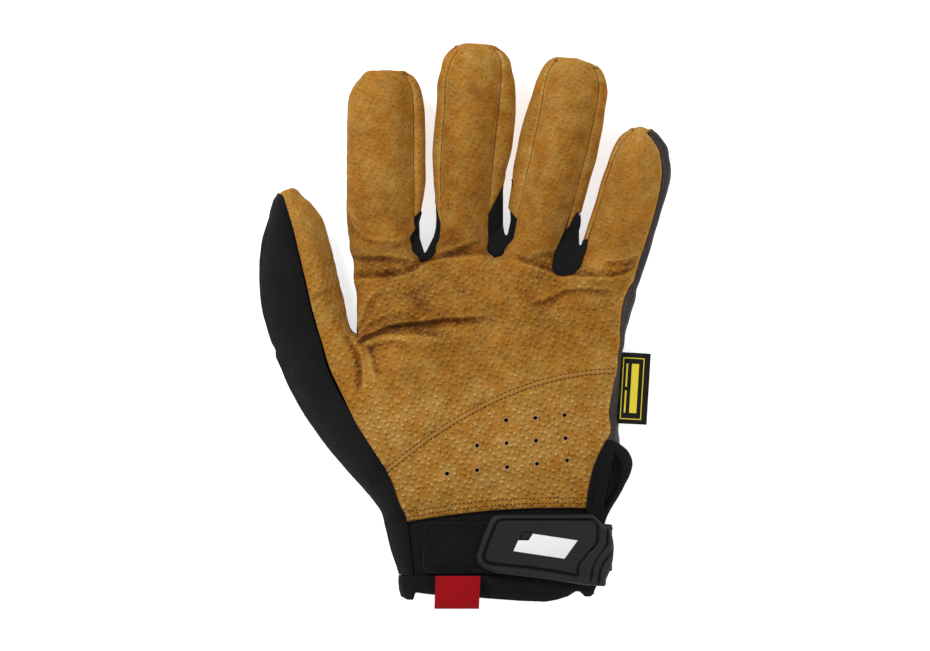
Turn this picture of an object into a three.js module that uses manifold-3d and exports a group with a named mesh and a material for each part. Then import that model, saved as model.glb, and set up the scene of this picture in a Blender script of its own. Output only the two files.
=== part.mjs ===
// Left-hand work glove, lying on its back with the palm up.
// Millimetres. +X points to the little finger, +Y to the fingertips, +Z up out of the palm.

import * as THREE from 'three';
import { mergeVertices } from 'three/addons/utils/BufferGeometryUtils.js';
import Module from 'manifold-3d';

const wasm = await Module();
wasm.setup();

// Driving sizes
const PALM_BREADTH = 114;
const PALM_LENGTH = 110;
const PALM_THICKNESS = 30;
const FINGER_THICKNESS = 21;
const THUMB_THICKNESS = 24;
const INDEX_LENGTH = 82;
const INDEX_WIDTH = 33;
const MIDDLE_LENGTH = 92;
const MIDDLE_WIDTH = 34;
const RING_LENGTH = 90;
const RING_WIDTH = 33;
const PINKY_LENGTH = 65;
const PINKY_WIDTH = 28;
const THUMB_LENGTH = 69;
const THUMB_WIDTH = 36;
const INDEX_LIFT = 3;
const MIDDLE_LIFT = 4;
const RING_LIFT = 4;
const PINKY_LIFT = 5;
const THUMB_LIFT = 2;
const CUFF_LENGTH = 26;
const HEM_WIDTH = 9.5;
const LEATHER_WALL = 1.5;
const STRETCH_WALL = 1.2;
const KNIT_WALL = 1.4;
const HEM_WALL = 2.4;
const GAP = 0.3;
const SEAM_GAP = 0.5;
const HOLE_DIAMETER = 2.2;
const STRAP_WIDTH = 20;
const STRAP_THICKNESS = 1.4;
const STRAP_LENGTH = 70;
const TAB_LENGTH = 58;
const TAB_HEIGHT = 29;
const TAB_THICKNESS = 3;
const TAB_GROOVE_WIDTH = 1.2;
const TAB_GROOVE_DEPTH = 1;
const INLAY_LENGTH = 27.5;
const INLAY_HEIGHT = 10.8;
const INLAY_THICKNESS = 1;
const PATCH_LENGTH = 42;
const PATCH_HEIGHT = 22;
const PATCH_THICKNESS = 1.2;
const LOOP_WIDTH = 20;
const LOOP_LENGTH = 14.5;
const LOOP_OPENING = 2;
const WEBBING_THICKNESS = 1.3;
const LABEL_WIDTH = 13;
const LABEL_LENGTH = 30;
const LABEL_THICKNESS = 1.2;

// Height of the wrist's front edge and its crown, as shares of the palm's thickness
const WRIST_EDGE = 0.44;
const WRIST_CROWN = 0.1;

// The four fingers from the thumb side: size, root as a share of the palm, lean in degrees,
// and how high the tip is lifted off the surface.
const FINGERS = [
  {
    name: 'index', length: INDEX_LENGTH, width: INDEX_WIDTH,
    rootX: -0.28, rootY: 0.25, lean: -0.4, lift: INDEX_LIFT,
  },
  {
    name: 'middle', length: MIDDLE_LENGTH, width: MIDDLE_WIDTH,
    rootX: -0.015, rootY: 0.27, lean: 4, lift: MIDDLE_LIFT,
  },
  {
    name: 'ring', length: RING_LENGTH, width: RING_WIDTH,
    rootX: 0.24, rootY: 0.245, lean: 12.5, lift: RING_LIFT,
  },
  {
    name: 'pinky', length: PINKY_LENGTH, width: PINKY_WIDTH,
    rootX: 0.526, rootY: 0.197, lean: 14, lift: PINKY_LIFT,
  },
];
const THUMB = {
  name: 'thumb', length: THUMB_LENGTH, width: THUMB_WIDTH,
  rootX: -0.462, rootY: -0.063, lean: -18.4, lift: THUMB_LIFT,
};

// Sections along a finger. at is a share of its length; outL and outR are the silhouette and
// seamL and seamR the edges of the front panel, as shares of its width from the middle line.
const SECTIONS = {
  index: [
    { at: 0, outL: -0.47, seamL: -0.39, seamR: 0.41, outR: 0.46 },
    { at: 0.08, outL: -0.51, seamL: -0.44, seamR: 0.31, outR: 0.42 },
    { at: 0.16, outL: -0.54, seamL: -0.45, seamR: 0.33, outR: 0.41 },
    { at: 0.25, outL: -0.56, seamL: -0.45, seamR: 0.34, outR: 0.43 },
    { at: 0.38, outL: -0.55, seamL: -0.45, seamR: 0.34, outR: 0.5 },
    { at: 0.52, outL: -0.55, seamL: -0.45, seamR: 0.34, outR: 0.5 },
    { at: 0.66, outL: -0.54, seamL: -0.44, seamR: 0.34, outR: 0.5 },
    { at: 0.78, outL: -0.54, seamL: -0.43, seamR: 0.34, outR: 0.49 },
    { at: 0.87, outL: -0.5, seamL: -0.38, seamR: 0.33, outR: 0.45 },
    { at: 0.94, outL: -0.41, seamL: -0.3, seamR: 0.29, outR: 0.4 },
    { at: 0.975, outL: -0.3, seamL: -0.2, seamR: 0.21, outR: 0.3 },
  ],
  middle: [
    { at: 0, outL: -0.4, seamL: -0.34, seamR: 0.38, outR: 0.46 },
    { at: 0.08, outL: -0.35, seamL: -0.25, seamR: 0.35, outR: 0.48 },
    { at: 0.16, outL: -0.33, seamL: -0.27, seamR: 0.34, outR: 0.51 },
    { at: 0.25, outL: -0.36, seamL: -0.29, seamR: 0.33, outR: 0.51 },
    { at: 0.38, outL: -0.4, seamL: -0.31, seamR: 0.34, outR: 0.51 },
    { at: 0.52, outL: -0.44, seamL: -0.32, seamR: 0.35, outR: 0.56 },
    { at: 0.66, outL: -0.43, seamL: -0.32, seamR: 0.37, outR: 0.59 },
    { at: 0.78, outL: -0.43, seamL: -0.33, seamR: 0.38, outR: 0.57 },
    { at: 0.87, outL: -0.4, seamL: -0.31, seamR: 0.38, outR: 0.53 },
    { at: 0.94, outL: -0.32, seamL: -0.23, seamR: 0.34, outR: 0.44 },
    { at: 0.975, outL: -0.24, seamL: -0.17, seamR: 0.27, outR: 0.35 },
  ],
  ring: [
    { at: 0, outL: -0.38, seamL: -0.36, seamR: 0.38, outR: 0.49 },
    { at: 0.08, outL: -0.33, seamL: -0.28, seamR: 0.36, outR: 0.59 },
    { at: 0.16, outL: -0.34, seamL: -0.25, seamR: 0.38, outR: 0.62 },
    { at: 0.25, outL: -0.4, seamL: -0.25, seamR: 0.42, outR: 0.57 },
    { at: 0.38, outL: -0.43, seamL: -0.25, seamR: 0.43, outR: 0.57 },
    { at: 0.52, outL: -0.455, seamL: -0.25, seamR: 0.44, outR: 0.59 },
    { at: 0.66, outL: -0.435, seamL: -0.25, seamR: 0.45, outR: 0.6 },
    { at: 0.78, outL: -0.435, seamL: -0.27, seamR: 0.45, outR: 0.58 },
    { at: 0.87, outL: -0.395, seamL: -0.28, seamR: 0.43, outR: 0.56 },
    { at: 0.94, outL: -0.345, seamL: -0.25, seamR: 0.39, outR: 0.49 },
    { at: 0.975, outL: -0.255, seamL: -0.19, seamR: 0.32, outR: 0.4 },
  ],
  pinky: [
    { at: 0, outL: -0.47, seamL: -0.46, seamR: 0.5, outR: 0.59 },
    { at: 0.08, outL: -0.42, seamL: -0.38, seamR: 0.5, outR: 0.61 },
    { at: 0.16, outL: -0.4, seamL: -0.35, seamR: 0.51, outR: 0.62 },
    { at: 0.25, outL: -0.39, seamL: -0.34, seamR: 0.53, outR: 0.63 },
    { at: 0.38, outL: -0.37, seamL: -0.32, seamR: 0.55, outR: 0.64 },
    { at: 0.52, outL: -0.38, seamL: -0.31, seamR: 0.56, outR: 0.65 },
    { at: 0.66, outL: -0.37, seamL: -0.31, seamR: 0.55, outR: 0.685 },
    { at: 0.78, outL: -0.34, seamL: -0.28, seamR: 0.5, outR: 0.645 },
    { at: 0.87, outL: -0.3, seamL: -0.22, seamR: 0.41, outR: 0.545 },
    { at: 0.94, outL: -0.22, seamL: -0.15, seamR: 0.27, outR: 0.405 },
    { at: 0.975, outL: -0.16, seamL: -0.09, seamR: 0.15, outR: 0.275 },
  ],
  thumb: [
    { at: 0, outL: -0.79, seamL: -0.24, seamR: 0.2, outR: 0.24 },
    { at: 0.08, outL: -0.79, seamL: -0.23, seamR: 0.11, outR: 0.16 },
    { at: 0.16, outL: -0.79, seamL: -0.23, seamR: 0.1, outR: 0.16 },
    { at: 0.25, outL: -0.79, seamL: -0.22, seamR: 0.11, outR: 0.2 },
    { at: 0.38, outL: -0.76, seamL: -0.19, seamR: 0.13, outR: 0.22 },
    { at: 0.52, outL: -0.68, seamL: -0.17, seamR: 0.15, outR: 0.24 },
    { at: 0.66, outL: -0.58, seamL: -0.14, seamR: 0.17, outR: 0.26 },
    { at: 0.78, outL: -0.47, seamL: -0.12, seamR: 0.15, outR: 0.24 },
    { at: 0.87, outL: -0.34, seamL: -0.11, seamR: 0.11, outR: 0.19 },
    { at: 0.94, outL: -0.27, seamL: -0.11, seamR: 0.07, outR: 0.14 },
    { at: 0.975, outL: -0.21, seamL: -0.1, seamR: 0.04, outR: 0.1 },
  ],
};

// How full a finger is at each of its sections, as a share of its thickness.
const FULLNESS = [1, 1, 1, 1, 1, 1, 0.98, 0.94, 0.86, 0.72, 0.56];

// Rows across the palm. leftX and rightX are shares of the palm's breadth, leftY, rightY and bow
// of its length, z, rise, outL, outR and backR of its thickness; steps lead up to the row.
const PALM_ROWS = [
  { name: 'finger_bases', steps: 0, leftX: -0.39, leftY: 0.24, leftZ: 0.5, rightX: 0.645, rightY: 0.185,
    rightZ: 0.46, bow: 0, rise: 0.26, power: 2.5, outL: 0.08, outR: 0.07, backR: 0 },
  { name: 'upper_palm', steps: 3, leftX: -0.375, leftY: 0.095, leftZ: 0.55, rightX: 0.603, rightY: 0.097,
    rightZ: 0.5, bow: 0, rise: 0.36, power: 2.5, outL: 0.08, outR: 0.16, backR: 0 },
  { name: 'thumb_crotch', steps: 3, leftX: -0.536, leftY: -0.063, leftZ: 0.7, rightX: 0.592, rightY: -0.047,
    rightZ: 0.5, bow: 0, rise: 0.38, power: 2.5, outL: 0.62, outR: 0.07, backR: 0 },
  { name: 'mid_palm', steps: 3, leftX: -0.436, leftY: -0.325, leftZ: 0.8, rightX: 0.585, rightY: -0.115,
    rightZ: 0.5, bow: 0.045, rise: 0.28, power: 2.4, outL: 0.56, outR: 0.05, backR: 0 },
  { name: 'heel_seam', steps: 3, leftX: -0.288, leftY: -0.565, leftZ: 0.74, rightX: 0.58, rightY: -0.176,
    rightZ: 0.5, bow: 0.097, rise: 0.24, power: 2.4, outL: 0.45, outR: 0.05, backR: 0.02 },
  { name: 'slit_top', steps: 4, leftX: -0.249, leftY: -0.672, leftZ: 0.62, rightX: 0.527, rightY: -0.461,
    rightZ: 0.47, bow: 0.06, rise: 0.2, power: 2.6, outL: 0.32, outR: 0.1, backR: 0.2 },
  { name: 'slit_middle', steps: 2, leftX: -0.23, leftY: -0.722, leftZ: 0.55, rightX: 0.494, rightY: -0.551,
    rightZ: 0.45, bow: 0.04, rise: 0.17, power: 3, outL: 0.3, outR: 0.12, backR: 0.54 },
  { name: 'leather_edge', steps: 2, leftX: -0.211, leftY: -0.77, leftZ: WRIST_EDGE,
    rightX: 0.463, rightY: -0.716, rightZ: WRIST_EDGE, bow: 0.02, rise: WRIST_CROWN, power: 6, outL: 0.33,
    outR: 0.1, backR: 0.3 },
];

// The cuff's rows. below is a share of the cuff's length under the leather edge, hem of the hem's.
const CUFF_ROWS = [
  { name: 'hem_top', steps: 2, below: 1, hem: 0, leftX: -0.189, leftZ: WRIST_EDGE, rightX: 0.478,
    rightZ: WRIST_EDGE, bow: 0, rise: WRIST_CROWN, power: 6, outL: 0.2, outR: 0.1, backR: 0.06 },
  { name: 'hem_bottom', steps: 1, below: 1, hem: 1, leftX: -0.198, leftZ: WRIST_EDGE, rightX: 0.494,
    rightZ: WRIST_EDGE, bow: -0.01, rise: WRIST_CROWN, power: 6, outL: 0.14, outR: 0.08, backR: 0 },
];

// Folds and mounds of the front. x, y and radius or width are shares of the palm's breadth,
// rise a share of its thickness: below zero a crease, above zero a ridge.
const FOLDS = [
  { name: 'index_roll', x0: -0.42, y0: 0.275, x1: -0.15, y1: 0.265, bend: 0.01, width: 0.05, rise: 0.045 },
  { name: 'index_crease', x0: -0.4, y0: 0.2, x1: -0.09, y1: 0.235, bend: -0.02, width: 0.04, rise: -0.06 },
  { name: 'knuckle_ridge', x0: 0.08, y0: 0.215, x1: 0.62, y1: 0.15, bend: 0, width: 0.045, rise: 0.04 },
  { name: 'knuckle_crease', x0: 0.28, y0: 0.1, x1: 0.6, y1: 0.135, bend: 0.01, width: 0.045, rise: -0.055 },
  { name: 'palm_ridge', x0: -0.31, y0: 0.01, x1: 0.14, y1: 0.08, bend: 0.015, width: 0.045, rise: 0.045 },
  { name: 'palm_crease', x0: -0.39, y0: -0.05, x1: 0.2, y1: 0.05, bend: 0.02, width: 0.04, rise: -0.085 },
  { name: 'lower_ridge', x0: -0.37, y0: -0.055, x1: -0.02, y1: -0.05, bend: 0.02, width: 0.035, rise: 0.045 },
  { name: 'thenar_crease', x0: -0.39, y0: -0.06, x1: -0.4, y1: -0.27, bend: 0.025, width: 0.04, rise: -0.07 },
  { name: 'thenar_ridge', x0: -0.36, y0: -0.1, x1: -0.32, y1: -0.22, bend: 0, width: 0.03, rise: 0.035 },
  { name: 'web_fold', x0: -0.39, y0: 0, x1: -0.3, y1: 0.15, bend: 0.02, width: 0.045, rise: -0.04 },
  { name: 'heel_dent', x0: 0.15, y0: -0.6, x1: 0.3, y1: -0.63, bend: 0, width: 0.06, rise: -0.04 },
];
const MOUNDS = [
  { name: 'thumb_ball', x: -0.36, y: -0.33, radius: 0.17, rise: 0.09 },
  { name: 'little_finger_side', x: 0.42, y: -0.2, radius: 0.2, rise: 0.05 },
  { name: 'palm_hollow', x: 0.08, y: -0.12, radius: 0.2, rise: -0.08 },
  { name: 'thumb_web', x: -0.37, y: -0.075, radius: 0.09, rise: -0.2 },
];

// Counts of the grid
const FINGER_COLUMNS = 5;
const THUMB_COLUMNS = 3;
const BAND_STEPS = 4;
const FOURCHETTE_ROWS = 3;
const THUMB_SHARE = 0.13;

// Finger profile, as shares of its thickness
const FRONT_EDGE = 0.63;
const BACK_EDGE = 0.2;
const THUMB_FRONT_EDGE = { left: 0.8, right: 0.6 };
const MIDDLE_HEIGHT = 0.42;
const TIP_BULGE = 0.062;
const PALM_BACK_EDGE = 0.16;

// Depths of the cloth below the leather's outer face
const FOURCHETTE_SUNK = 0.5;
const CUFF_FRONT_SUNK = 1.2;
const CUFF_BACK_SUNK = STRAP_THICKNESS + 2 * GAP;
const HEM_PROUD = 0.4;
const BAND_CLEARANCE = 0.05;

// Middle of the pull loop and of the patch, as shares of the palm's breadth
const LOOP_X = -0.015;
const PATCH_X = 0.03;

const LEATHER_TAN = 0xaf7832;
const LEATHER_DARK = 0x373030;
const CLOTH_BLACK = 0x1a1b1d;
const RUBBER_BLACK = 0x202124;
const WEBBING_RED = 0xb80f19;
const INLAY_GREY = 0xe6e6e9;

const glove = new THREE.Group();

function addMesh(parent, name, geometry, color, roughness) {
  const material = new THREE.MeshStandardMaterial({ color, roughness, metalness: 0 });
  const mesh = new THREE.Mesh(geometry, material);
  mesh.name = name;
  parent.add(mesh);
  return mesh;
}

// Solids for joining and cutting

function toSolid(geometry) {
  const bare = geometry.clone();
  bare.deleteAttribute('normal');
  bare.deleteAttribute('uv');
  const merged = mergeVertices(bare, 1e-4);
  const vertProperties = new Float32Array(merged.attributes.position.array);
  const triVerts = new Uint32Array(merged.index.array);
  return new wasm.Manifold(new wasm.Mesh({ numProp: 3, vertProperties, triVerts }));
}

function toGeometry(solid) {
  const { vertProperties, triVerts } = solid.getMesh();
  const geometry = new THREE.BufferGeometry();
  geometry.setAttribute('position', new THREE.BufferAttribute(new Float32Array(vertProperties), 3));
  geometry.setIndex(new THREE.BufferAttribute(new Uint32Array(triVerts), 1));
  geometry.computeVertexNormals();
  return geometry;
}

// Heights of the palm's front: folds and mounds

function foldHeight(x, y) {
  let height = 0;
  for (const fold of FOLDS) {
    const start = new THREE.Vector2(fold.x0 * PALM_BREADTH, fold.y0 * PALM_BREADTH);
    const end = new THREE.Vector2(fold.x1 * PALM_BREADTH, fold.y1 * PALM_BREADTH);
    const along = end.clone().sub(start);
    const length = along.length();
    along.normalize();
    const offset = new THREE.Vector2(x, y).sub(start);
    const t = offset.dot(along) / length;
    const bend = fold.bend * PALM_BREADTH * 4 * t * (1 - t);
    const across = along.x * offset.y - along.y * offset.x - bend;
    const beyond = Math.max(0, -t, t - 1) * length;
    const width = fold.width * PALM_BREADTH;
    height += fold.rise * PALM_THICKNESS * Math.exp(-(across ** 2 + beyond ** 2) / width ** 2);
  }
  for (const mound of MOUNDS) {
    const dx = x - mound.x * PALM_BREADTH;
    const dy = y - mound.y * PALM_BREADTH;
    const radius = mound.radius * PALM_BREADTH;
    height += mound.rise * PALM_THICKNESS * Math.exp(-(dx ** 2 + dy ** 2) / radius ** 2);
  }
  return height;
}

// Outside of the glove: points, and four-cornered faces that name their panel

const points = [];
const faces = [];

function addPoint(x, y, z) {
  points.push(new THREE.Vector3(x, y, z));
  return points.length - 1;
}

// A place in the plan has a point on the front and one on the back.
function addPlace(x, y, front, back, backShift = 0) {
  return { front: addPoint(x, y, front), back: addPoint(x + backShift, y, back) };
}

function addSheet(lower, upper, frontPanel, backPanel) {
  for (let i = 0; i < lower.length - 1; i++) {
    const front = frontPanel(i);
    const back = backPanel(i);
    faces.push({
      panel: front,
      corners: [lower[i].front, lower[i + 1].front, upper[i + 1].front, upper[i].front],
    });
    faces.push({
      panel: back,
      corners: [upper[i].back, upper[i + 1].back, lower[i + 1].back, lower[i].back],
    });
  }
}

function fingerFrame(finger) {
  const lean = THREE.MathUtils.degToRad(finger.lean);
  return {
    root: new THREE.Vector2(finger.rootX * PALM_BREADTH, finger.rootY * PALM_LENGTH),
    along: new THREE.Vector2(Math.sin(lean), Math.cos(lean)),
    across: new THREE.Vector2(Math.cos(lean), -Math.sin(lean)),
  };
}

function fingerPoint(finger, share, side) {
  const { root, along, across } = fingerFrame(finger);
  return root.clone().addScaledVector(along, share * finger.length).addScaledVector(across, side * finger.width);
}

// Height of a finger's front and back at a section, s running from seam to seam.
function fingerHeights(thickness, edge, fullness, lift, s) {
  const middle = MIDDLE_HEIGHT * thickness;
  const side = Math.abs(2 * s - 1);
  const frontEdge = THREE.MathUtils.lerp(edge.left, edge.right, s) * thickness;
  const top = frontEdge + (thickness - frontEdge) * (1 - side ** 2.2);
  const bottom = BACK_EDGE * thickness * side ** 4;
  return {
    front: lift + middle + (top - middle) * fullness,
    back: lift + middle + (bottom - middle) * fullness,
  };
}

// Rows of places from a finger's base row to its tip, with the silhouette's reach at both ends.
function fingerRows(finger, base, columns, thickness, edge) {
  const rows = [base];
  const reach = [];
  SECTIONS[finger.name].forEach((section, r) => {
    reach.push({
      left: Math.abs(section.outL - section.seamL) * finger.width,
      right: Math.abs(section.outR - section.seamR) * finger.width,
    });
    if (r === 0) return;
    const row = [];
    for (let i = 0; i <= columns; i++) {
      const s = i / columns;
      const side = THREE.MathUtils.lerp(section.seamL, section.seamR, s);
      const place = fingerPoint(finger, section.at, side);
      const lift = finger.lift * section.at ** 2;
      const height = fingerHeights(thickness, edge, FULLNESS[r], lift, s);
      const fold = foldHeight(place.x, place.y) * (1 - section.at) ** 4;
      row.push(addPlace(place.x, place.y, height.front + fold, height.back));
    }
    rows.push(row);
  });
  return { rows, reach };
}

// The row that the four fingers stand on: neighbours share the place between them.
function fingerBaseRow() {
  const ends = FINGERS.map((finger) => {
    const base = SECTIONS[finger.name][0];
    return { left: fingerPoint(finger, 0, base.seamL), right: fingerPoint(finger, 0, base.seamR) };
  });
  const corners = [ends[0].left];
  for (let f = 0; f < FINGERS.length - 1; f++) {
    corners.push(ends[f].right.clone().add(ends[f + 1].left).multiplyScalar(0.5));
  }
  corners.push(ends[FINGERS.length - 1].right);
  const edge = { left: FRONT_EDGE, right: FRONT_EDGE };
  const row = [];
  for (let f = 0; f < FINGERS.length; f++) {
    for (let i = f === 0 ? 0 : 1; i <= FINGER_COLUMNS; i++) {
      const s = i / FINGER_COLUMNS;
      const place = corners[f].clone().lerp(corners[f + 1], s);
      const height = fingerHeights(FINGER_THICKNESS, edge, 1, 0, s);
      row.push({ x: place.x, y: place.y, front: height.front + foldHeight(place.x, place.y), back: height.back });
    }
  }
  return row;
}

// Rows of the palm and the cuff, with every number in mm
function measuredRows() {
  const thick = (row) => ({
    ...row,
    leftX: row.leftX * PALM_BREADTH,
    rightX: row.rightX * PALM_BREADTH,
    leftZ: row.leftZ * PALM_THICKNESS,
    rightZ: row.rightZ * PALM_THICKNESS,
    bow: row.bow * PALM_LENGTH,
    rise: row.rise * PALM_THICKNESS,
    outL: row.outL * PALM_THICKNESS,
    outR: row.outR * PALM_THICKNESS,
    backR: row.backR * PALM_THICKNESS,
  });
  const palm = PALM_ROWS.map((row) => thick({
    ...row,
    leftY: row.leftY * PALM_LENGTH,
    rightY: row.rightY * PALM_LENGTH,
  }));
  const edge = palm[palm.length - 1];
  const edgeY = (edge.leftY + edge.rightY) / 2;
  const cuff = CUFF_ROWS.map((row) => {
    const y = edgeY - row.below * CUFF_LENGTH - row.hem * HEM_WIDTH;
    return thick({ ...row, leftY: y, rightY: y });
  });
  return [...palm, ...cuff];
}

function splineRows(table) {
  const rows = [{ ...table[0], key: table[0].name, backLift: 0 }];
  const numbers = Object.keys(table[0]).filter((k) => typeof table[0][k] === 'number' && k !== 'steps');
  for (let k = 1; k < table.length; k++) {
    const before = table[Math.max(0, k - 2)];
    const after = table[Math.min(table.length - 1, k + 1)];
    for (let step = 1; step <= table[k].steps; step++) {
      const t = step / table[k].steps;
      const hem = table[k].hem === 1 || (table[k].hem === 0 && t === 1);
      const row = { between: table[k].name, key: t === 1 ? table[k].name : '', backLift: hem ? HEM_PROUD : 0 };
      for (const n of numbers) {
        const [a, b, c, d] = [before[n], table[k - 1][n], table[k][n], after[n]];
        const jump = n === 'leftX' || n === 'leftY' || n === 'leftZ' || n === 'outL';
        const straight = jump && (table[k].name === 'upper_palm' || table[k].name === 'thumb_crotch');
        const curved = 0.5 * (2 * b + (c - a) * t + (2 * a - 5 * b + 4 * c - d) * t ** 2
          + (3 * b - a - 3 * c + d) * t ** 3);
        row[n] = straight ? THREE.MathUtils.lerp(b, c, t) : curved;
      }
      rows.push(row);
    }
  }
  return rows;
}

function palmPlace(row, s) {
  const side = Math.abs(2 * s - 1);
  const x = THREE.MathUtils.lerp(row.leftX, row.rightX, s);
  const y = THREE.MathUtils.lerp(row.leftY, row.rightY, s) + row.bow * 4 * s * (1 - s);
  const crown = THREE.MathUtils.lerp(row.leftZ, row.rightZ, s) + row.rise * (1 - side ** row.power);
  return { x, y, front: crown, back: row.backLift + PALM_BACK_EDGE * PALM_THICKNESS * side ** 12 };
}

// Panels of the rows between the finger bases and the hem
function panelsOfRow(between) {
  if (between === 'hem_bottom') return { front: 'hem_binding', back: 'hem_binding' };
  if (between === 'hem_top') return { front: 'cuff_front', back: 'cuff_back' };
  const heel = ['slit_top', 'slit_middle', 'leather_edge'].includes(between);
  return { front: heel ? 'heel_panel' : 'palm_panel', back: 'back_panel' };
}

// The closed outline, walked anticlockwise seen from above, as places with their reach outwards
const outline = [];

function walk(place, reach, panels) {
  outline.push({ place, reach, panels });
}

const SLIT_ROWS = ['slit_middle', 'leather_edge', 'hem_top'];
const WRAPPED = ['palm_panel', 'palm_panel', 'back_panel', 'back_panel'];
const all = (panel) => Array(BAND_STEPS).fill(panel);

function buildHand() {
  const base = fingerBaseRow();
  const left = base[0].x;
  const right = base[base.length - 1].x;
  const shares = base.map((place) => (place.x - left) / (right - left));
  const table = splineRows(measuredRows());
  const crotch = table.findIndex((row) => row.key === 'thumb_crotch');
  const upper = table.findIndex((row) => row.key === 'upper_palm');
  const keyRow = table[crotch];

  // the hand's left edge above the thumb runs straight to the thumb's crotch
  const crotchX = THREE.MathUtils.lerp(keyRow.leftX, keyRow.rightX, THUMB_SHARE);
  const crotchY = THREE.MathUtils.lerp(keyRow.leftY, keyRow.rightY, THUMB_SHARE);
  const rows = [];
  table.forEach((row, r) => {
    const below = r >= crotch;
    const columns = below ? [...Array(THUMB_COLUMNS).keys()].map((i) => (i / THUMB_COLUMNS) * THUMB_SHARE) : [];
    const first = below ? THUMB_SHARE : 0;
    shares.forEach((s) => columns.push(first + (1 - first) * s));
    let used = row;
    if (!below && r > upper) {
      const t = (r - upper) / (crotch - upper);
      used = {
        ...row,
        leftX: THREE.MathUtils.lerp(table[upper].leftX, crotchX, t),
        leftY: THREE.MathUtils.lerp(table[upper].leftY, crotchY, t),
        leftZ: table[upper].leftZ,
      };
    }
    const places = columns.map((s, i) => {
      const place = palmPlace(used, s);
      place.front += foldHeight(place.x, place.y);
      if (!below) {
        const weight = Math.max(0, 1 - r / upper) ** 2;
        const home = palmPlace(table[0], shares[i]);
        home.front += foldHeight(home.x, home.y);
        for (const axis of ['x', 'y', 'front', 'back']) {
          place[axis] += weight * (base[i][axis] - home[axis]);
        }
      }
      const shift = row.backR * s ** 3;
      return addPlace(place.x, place.y, place.front, place.back, shift);
    });
    rows.push(places);
  });

  for (let r = 1; r < rows.length; r++) {
    const panels = panelsOfRow(table[r].between);
    const above = rows[r - 1];
    const below = rows[r].slice(rows[r].length - above.length);
    addSheet(below, above, () => panels.front, () => panels.back);
  }

  // fingers stand on the first row, the thumb on the left end of its crotch row
  const fingers = FINGERS.map((finger, f) => {
    const start = f * FINGER_COLUMNS;
    const ground = rows[0].slice(start, start + FINGER_COLUMNS + 1);
    const edge = { left: FRONT_EDGE, right: FRONT_EDGE };
    return fingerRows(finger, ground, FINGER_COLUMNS, FINGER_THICKNESS, edge);
  });
  const thumbGround = rows[crotch].slice(0, THUMB_COLUMNS + 1);
  const thumb = fingerRows(THUMB, thumbGround, THUMB_COLUMNS, THUMB_THICKNESS, THUMB_FRONT_EDGE);
  for (const finger of fingers) {
    for (let r = 1; r < finger.rows.length; r++) {
      addSheet(finger.rows[r - 1], finger.rows[r], () => 'palm_panel', () => 'back_panel');
    }
  }
  for (let r = 1; r < thumb.rows.length; r++) {
    addSheet(thumb.rows[r - 1], thumb.rows[r], () => 'palm_panel', () => 'thumb_side_panel');
  }

  // right side, from the hem up to the little finger
  for (let r = rows.length - 1; r >= 1; r--) {
    const row = table[r];
    let panels = all('back_panel');
    if (row.between === 'hem_bottom') panels = all('');
    else if (SLIT_ROWS.includes(row.between)) panels = ['slit_binding', '', '', 'slit_binding'];
    if (table[r - 1].key === 'slit_top') panels = all('slit_binding');
    walk(rows[r][rows[r].length - 1], row.outR, panels);
  }

  // round each finger, from the little finger to the index
  for (let f = FINGERS.length - 1; f >= 0; f--) {
    const { rows: own, reach } = fingers[f];
    const { name } = FINGERS[f];
    const tip = own.length - 1;
    const beside = f < FINGERS.length - 1 ? `fourchette_${name}_${FINGERS[f + 1].name}` : '';
    const before = f > 0 ? `fourchette_${FINGERS[f - 1].name}_${name}` : '';
    for (let r = 0; r < tip; r++) {
      let panels = all('back_panel');
      if (beside) panels = all(r < FOURCHETTE_ROWS ? beside : `${name}_right_strip`);
      walk(own[r][FINGER_COLUMNS], reach[r].right, panels);
    }
    for (let i = FINGER_COLUMNS; i > 0; i--) {
      const end = i === FINGER_COLUMNS ? reach[tip].right : TIP_BULGE * FINGERS[f].width;
      walk(own[tip][i], end, WRAPPED);
    }
    for (let r = tip; r > 0; r--) {
      let panels = WRAPPED;
      if (before) panels = all(r <= FOURCHETTE_ROWS ? before : `${name}_left_strip`);
      walk(own[r][0], reach[r].left, panels);
    }
  }

  // down the hand's left side to the thumb's crotch, round the thumb, and down to the hem
  for (let r = 0; r < crotch; r++) walk(rows[r][0], table[Math.min(r, upper)].outL, WRAPPED);
  const thumbWrapped = ['palm_panel', 'palm_panel', 'thumb_side_panel', 'thumb_side_panel'];
  const thumbTip = thumb.rows.length - 1;
  for (let r = 0; r < thumbTip; r++) {
    walk(thumb.rows[r][THUMB_COLUMNS], thumb.reach[r].right, r === 0 ? WRAPPED : thumbWrapped);
  }
  for (let i = THUMB_COLUMNS; i > 0; i--) {
    walk(thumb.rows[thumbTip][i], TIP_BULGE * THUMB_WIDTH, thumbWrapped);
  }
  for (let r = thumbTip; r > 0; r--) {
    walk(thumb.rows[r][0], thumb.reach[r].left, all('thumb_side_panel'));
  }
  for (let r = crotch; r < rows.length; r++) {
    const next = r + 1 < rows.length ? table[r + 1].between : '';
    const panels = next === 'hem_bottom' ? all('hem_binding') : all(next ? 'thumb_side_panel' : '');
    walk(rows[r][0], r === crotch ? thumb.reach[0].left : table[r].outL, panels);
  }
}

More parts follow.
